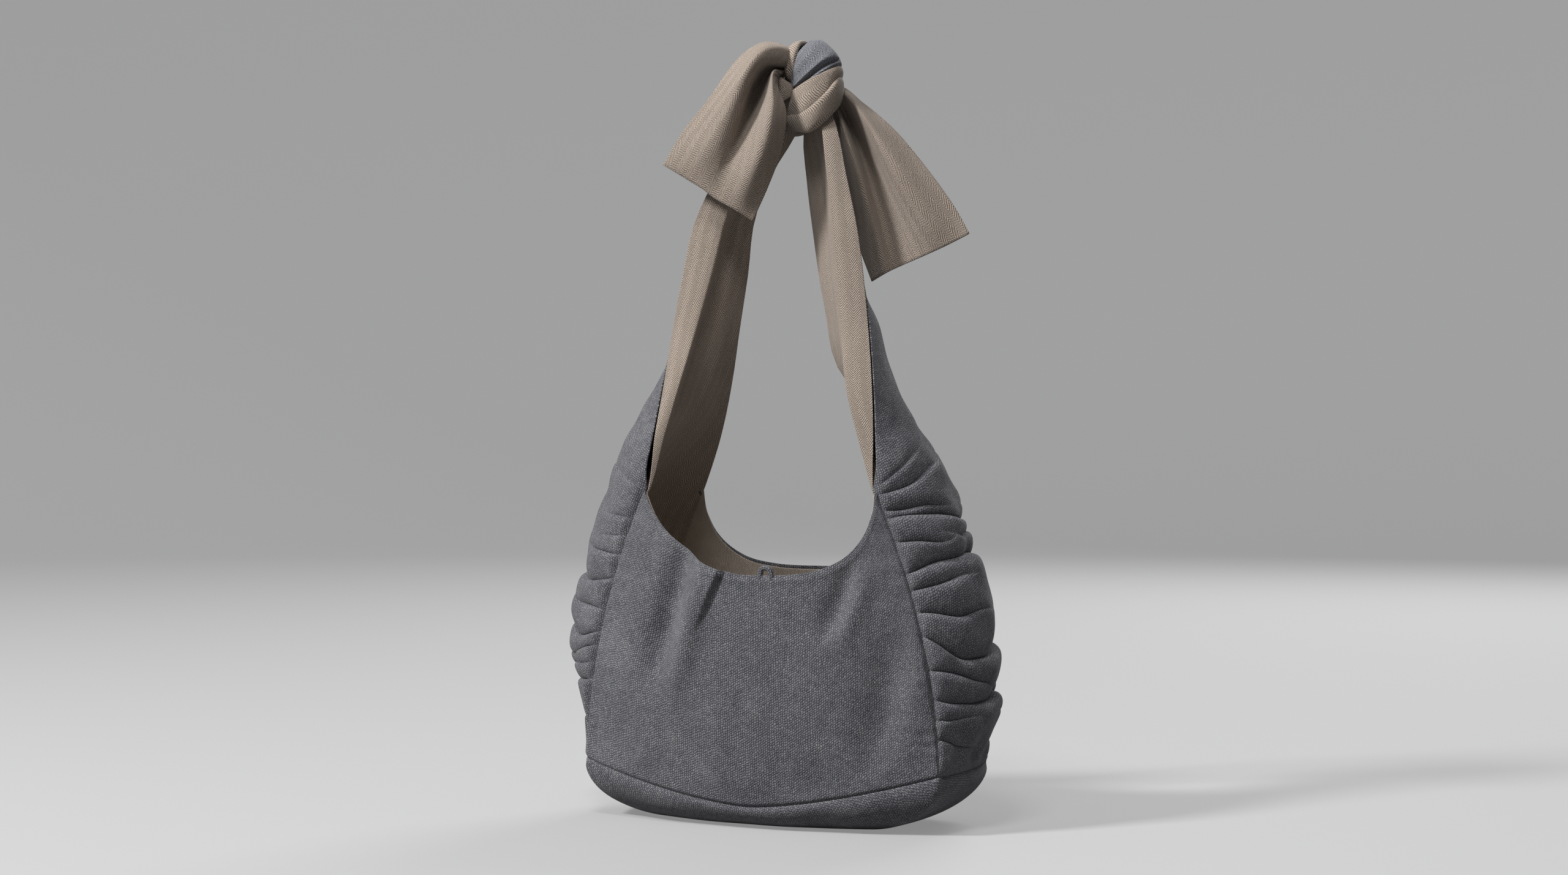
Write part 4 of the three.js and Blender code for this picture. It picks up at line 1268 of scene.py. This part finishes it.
camera = bpy.data.objects.new("camera", bpy.data.cameras.new("camera"))
bpy.context.scene.collection.objects.link(camera)
camera.data.sensor_width = 36
camera.data.lens = camera.data.sensor_width * FOCAL_PIXELS / PICTURE_WIDTH
camera.location = Vector(SEEN_NEAR) * CAMERA_DISTANCE + Vector((0, 0, CAMERA_HEIGHT))
camera.rotation_euler = (math.pi / 2, 0, VIEW_TURN)
camera.data.shift_x = -2 / PICTURE_WIDTH
bpy.context.scene.camera = camera
print("Camera lens", round(camera.data.lens, 1), "mm")

# %% [markdown]
# ## The light
# One soft lamp high on the left gives the folds their shade. A weaker one above the front opens the
# shadows, and a broad one behind lights the paper and the far edges. The world adds a little light from
# all round.

# %% Light
WORLD_TINT, WORLD_STRENGTH = (0.9, 0.92, 0.95, 1), 0.3


def lamp(name, place, aim, size, power):
    light = bpy.data.lights.new(name, "AREA")
    light.size, light.energy = size, power
    holder = bpy.data.objects.new(name, light)
    holder.location = place
    holder.rotation_euler = (Vector(aim) - Vector(place)).to_track_quat("-Z", "Y").to_euler()
    bpy.context.scene.collection.objects.link(holder)


# Name, place, the point it is aimed at, size and power.
lamp("key", (-2.1, -2.75, 3.2), (0, 0, 0.35), 0.7, 235)
lamp("top", (0.3, -2.0, 3.4), (0, 0, 0.3), 0.8, 52)
lamp("back", (0.3, 3.6, 2.4), (0, 0, 0.4), 2.0, 90)

world = bpy.data.worlds.new("studio")
world.use_nodes = True
world.node_tree.nodes["Background"].inputs["Color"].default_value = WORLD_TINT
world.node_tree.nodes["Background"].inputs["Strength"].default_value = WORLD_STRENGTH
bpy.context.scene.world = world
bpy.context.scene.view_settings.view_transform = "Standard"
print("Lamps:", len(bpy.data.lights))

# %% [markdown]
# ## The paper
# The bag stands on a round sheet of plain pale paper that curves up all round, far outside the lamps,
# so that no edge shows from any side. Where it is looked at it is a little lighter than where it only
# throws light back onto the bag, which the kind of ray decides.

# %% Paper
SWEEP_FLAT, SWEEP_ROUND, SWEEP_TOP, SWEEP_SIDES = 5.0, 1.8, 5.0, 64
SWEEP_BENDS, PAPER_ROUGHNESS = 13, 0.9
# Grey for light that bounces, and for the paper as seen.
PAPER_GREYS = {"Base Color": (0.2, 0.25), "Emission Color": (0.0, 0.24)}

bends = np.linspace(0, np.pi / 2, SWEEP_BENDS)
profile = [(0.0, 0.0)]
profile += [(SWEEP_FLAT + SWEEP_ROUND * np.sin(b), SWEEP_ROUND * (1 - np.cos(b))) for b in bends]
profile += [(SWEEP_FLAT + SWEEP_ROUND, SWEEP_TOP)]
turns = np.linspace(0, 2 * np.pi, SWEEP_SIDES + 1)[:-1]
rings = np.array([[(r * np.cos(t), r * np.sin(t), up) for t in turns] for r, up in profile])
sweep_faces, _ = quads(*rings.shape[:2], tube=True)
sweep_mesh = bpy.data.meshes.new("paper_sweep")
sweep_mesh.from_pydata(rings.reshape(-1, 3), [], sweep_faces.tolist())
sweep_mesh.polygons.foreach_set("use_smooth", np.ones(len(sweep_mesh.polygons), bool))
sweep = bpy.data.objects.new("paper_sweep", sweep_mesh)
bpy.context.scene.collection.objects.link(sweep)
paper = bpy.data.materials.new("paper")
paper.use_nodes = True
paper_shader = paper.node_tree.nodes["Principled BSDF"]
paper_shader.inputs["Roughness"].default_value = PAPER_ROUGHNESS
paper_shader.inputs["Emission Strength"].default_value = 1.0
rays = Wire(paper.node_tree)
looked_at = rays.node("ShaderNodeLightPath", output="Is Camera Ray")
for ray in ("Is Glossy Ray", "Is Transmission Ray"):
    looked_at = looked_at.math("MAXIMUM", rays.node("ShaderNodeLightPath", output=ray))
for socket, (bounced, direct) in PAPER_GREYS.items():
    mixed = looked_at.mix((bounced,) * 3, (direct,) * 3)
    paper.node_tree.links.new(mixed.socket, paper_shader.inputs[socket])
sweep_mesh.materials.append(paper)
close_poles(sweep)
print("Paper", 2 * (SWEEP_FLAT + SWEEP_ROUND), "m across")
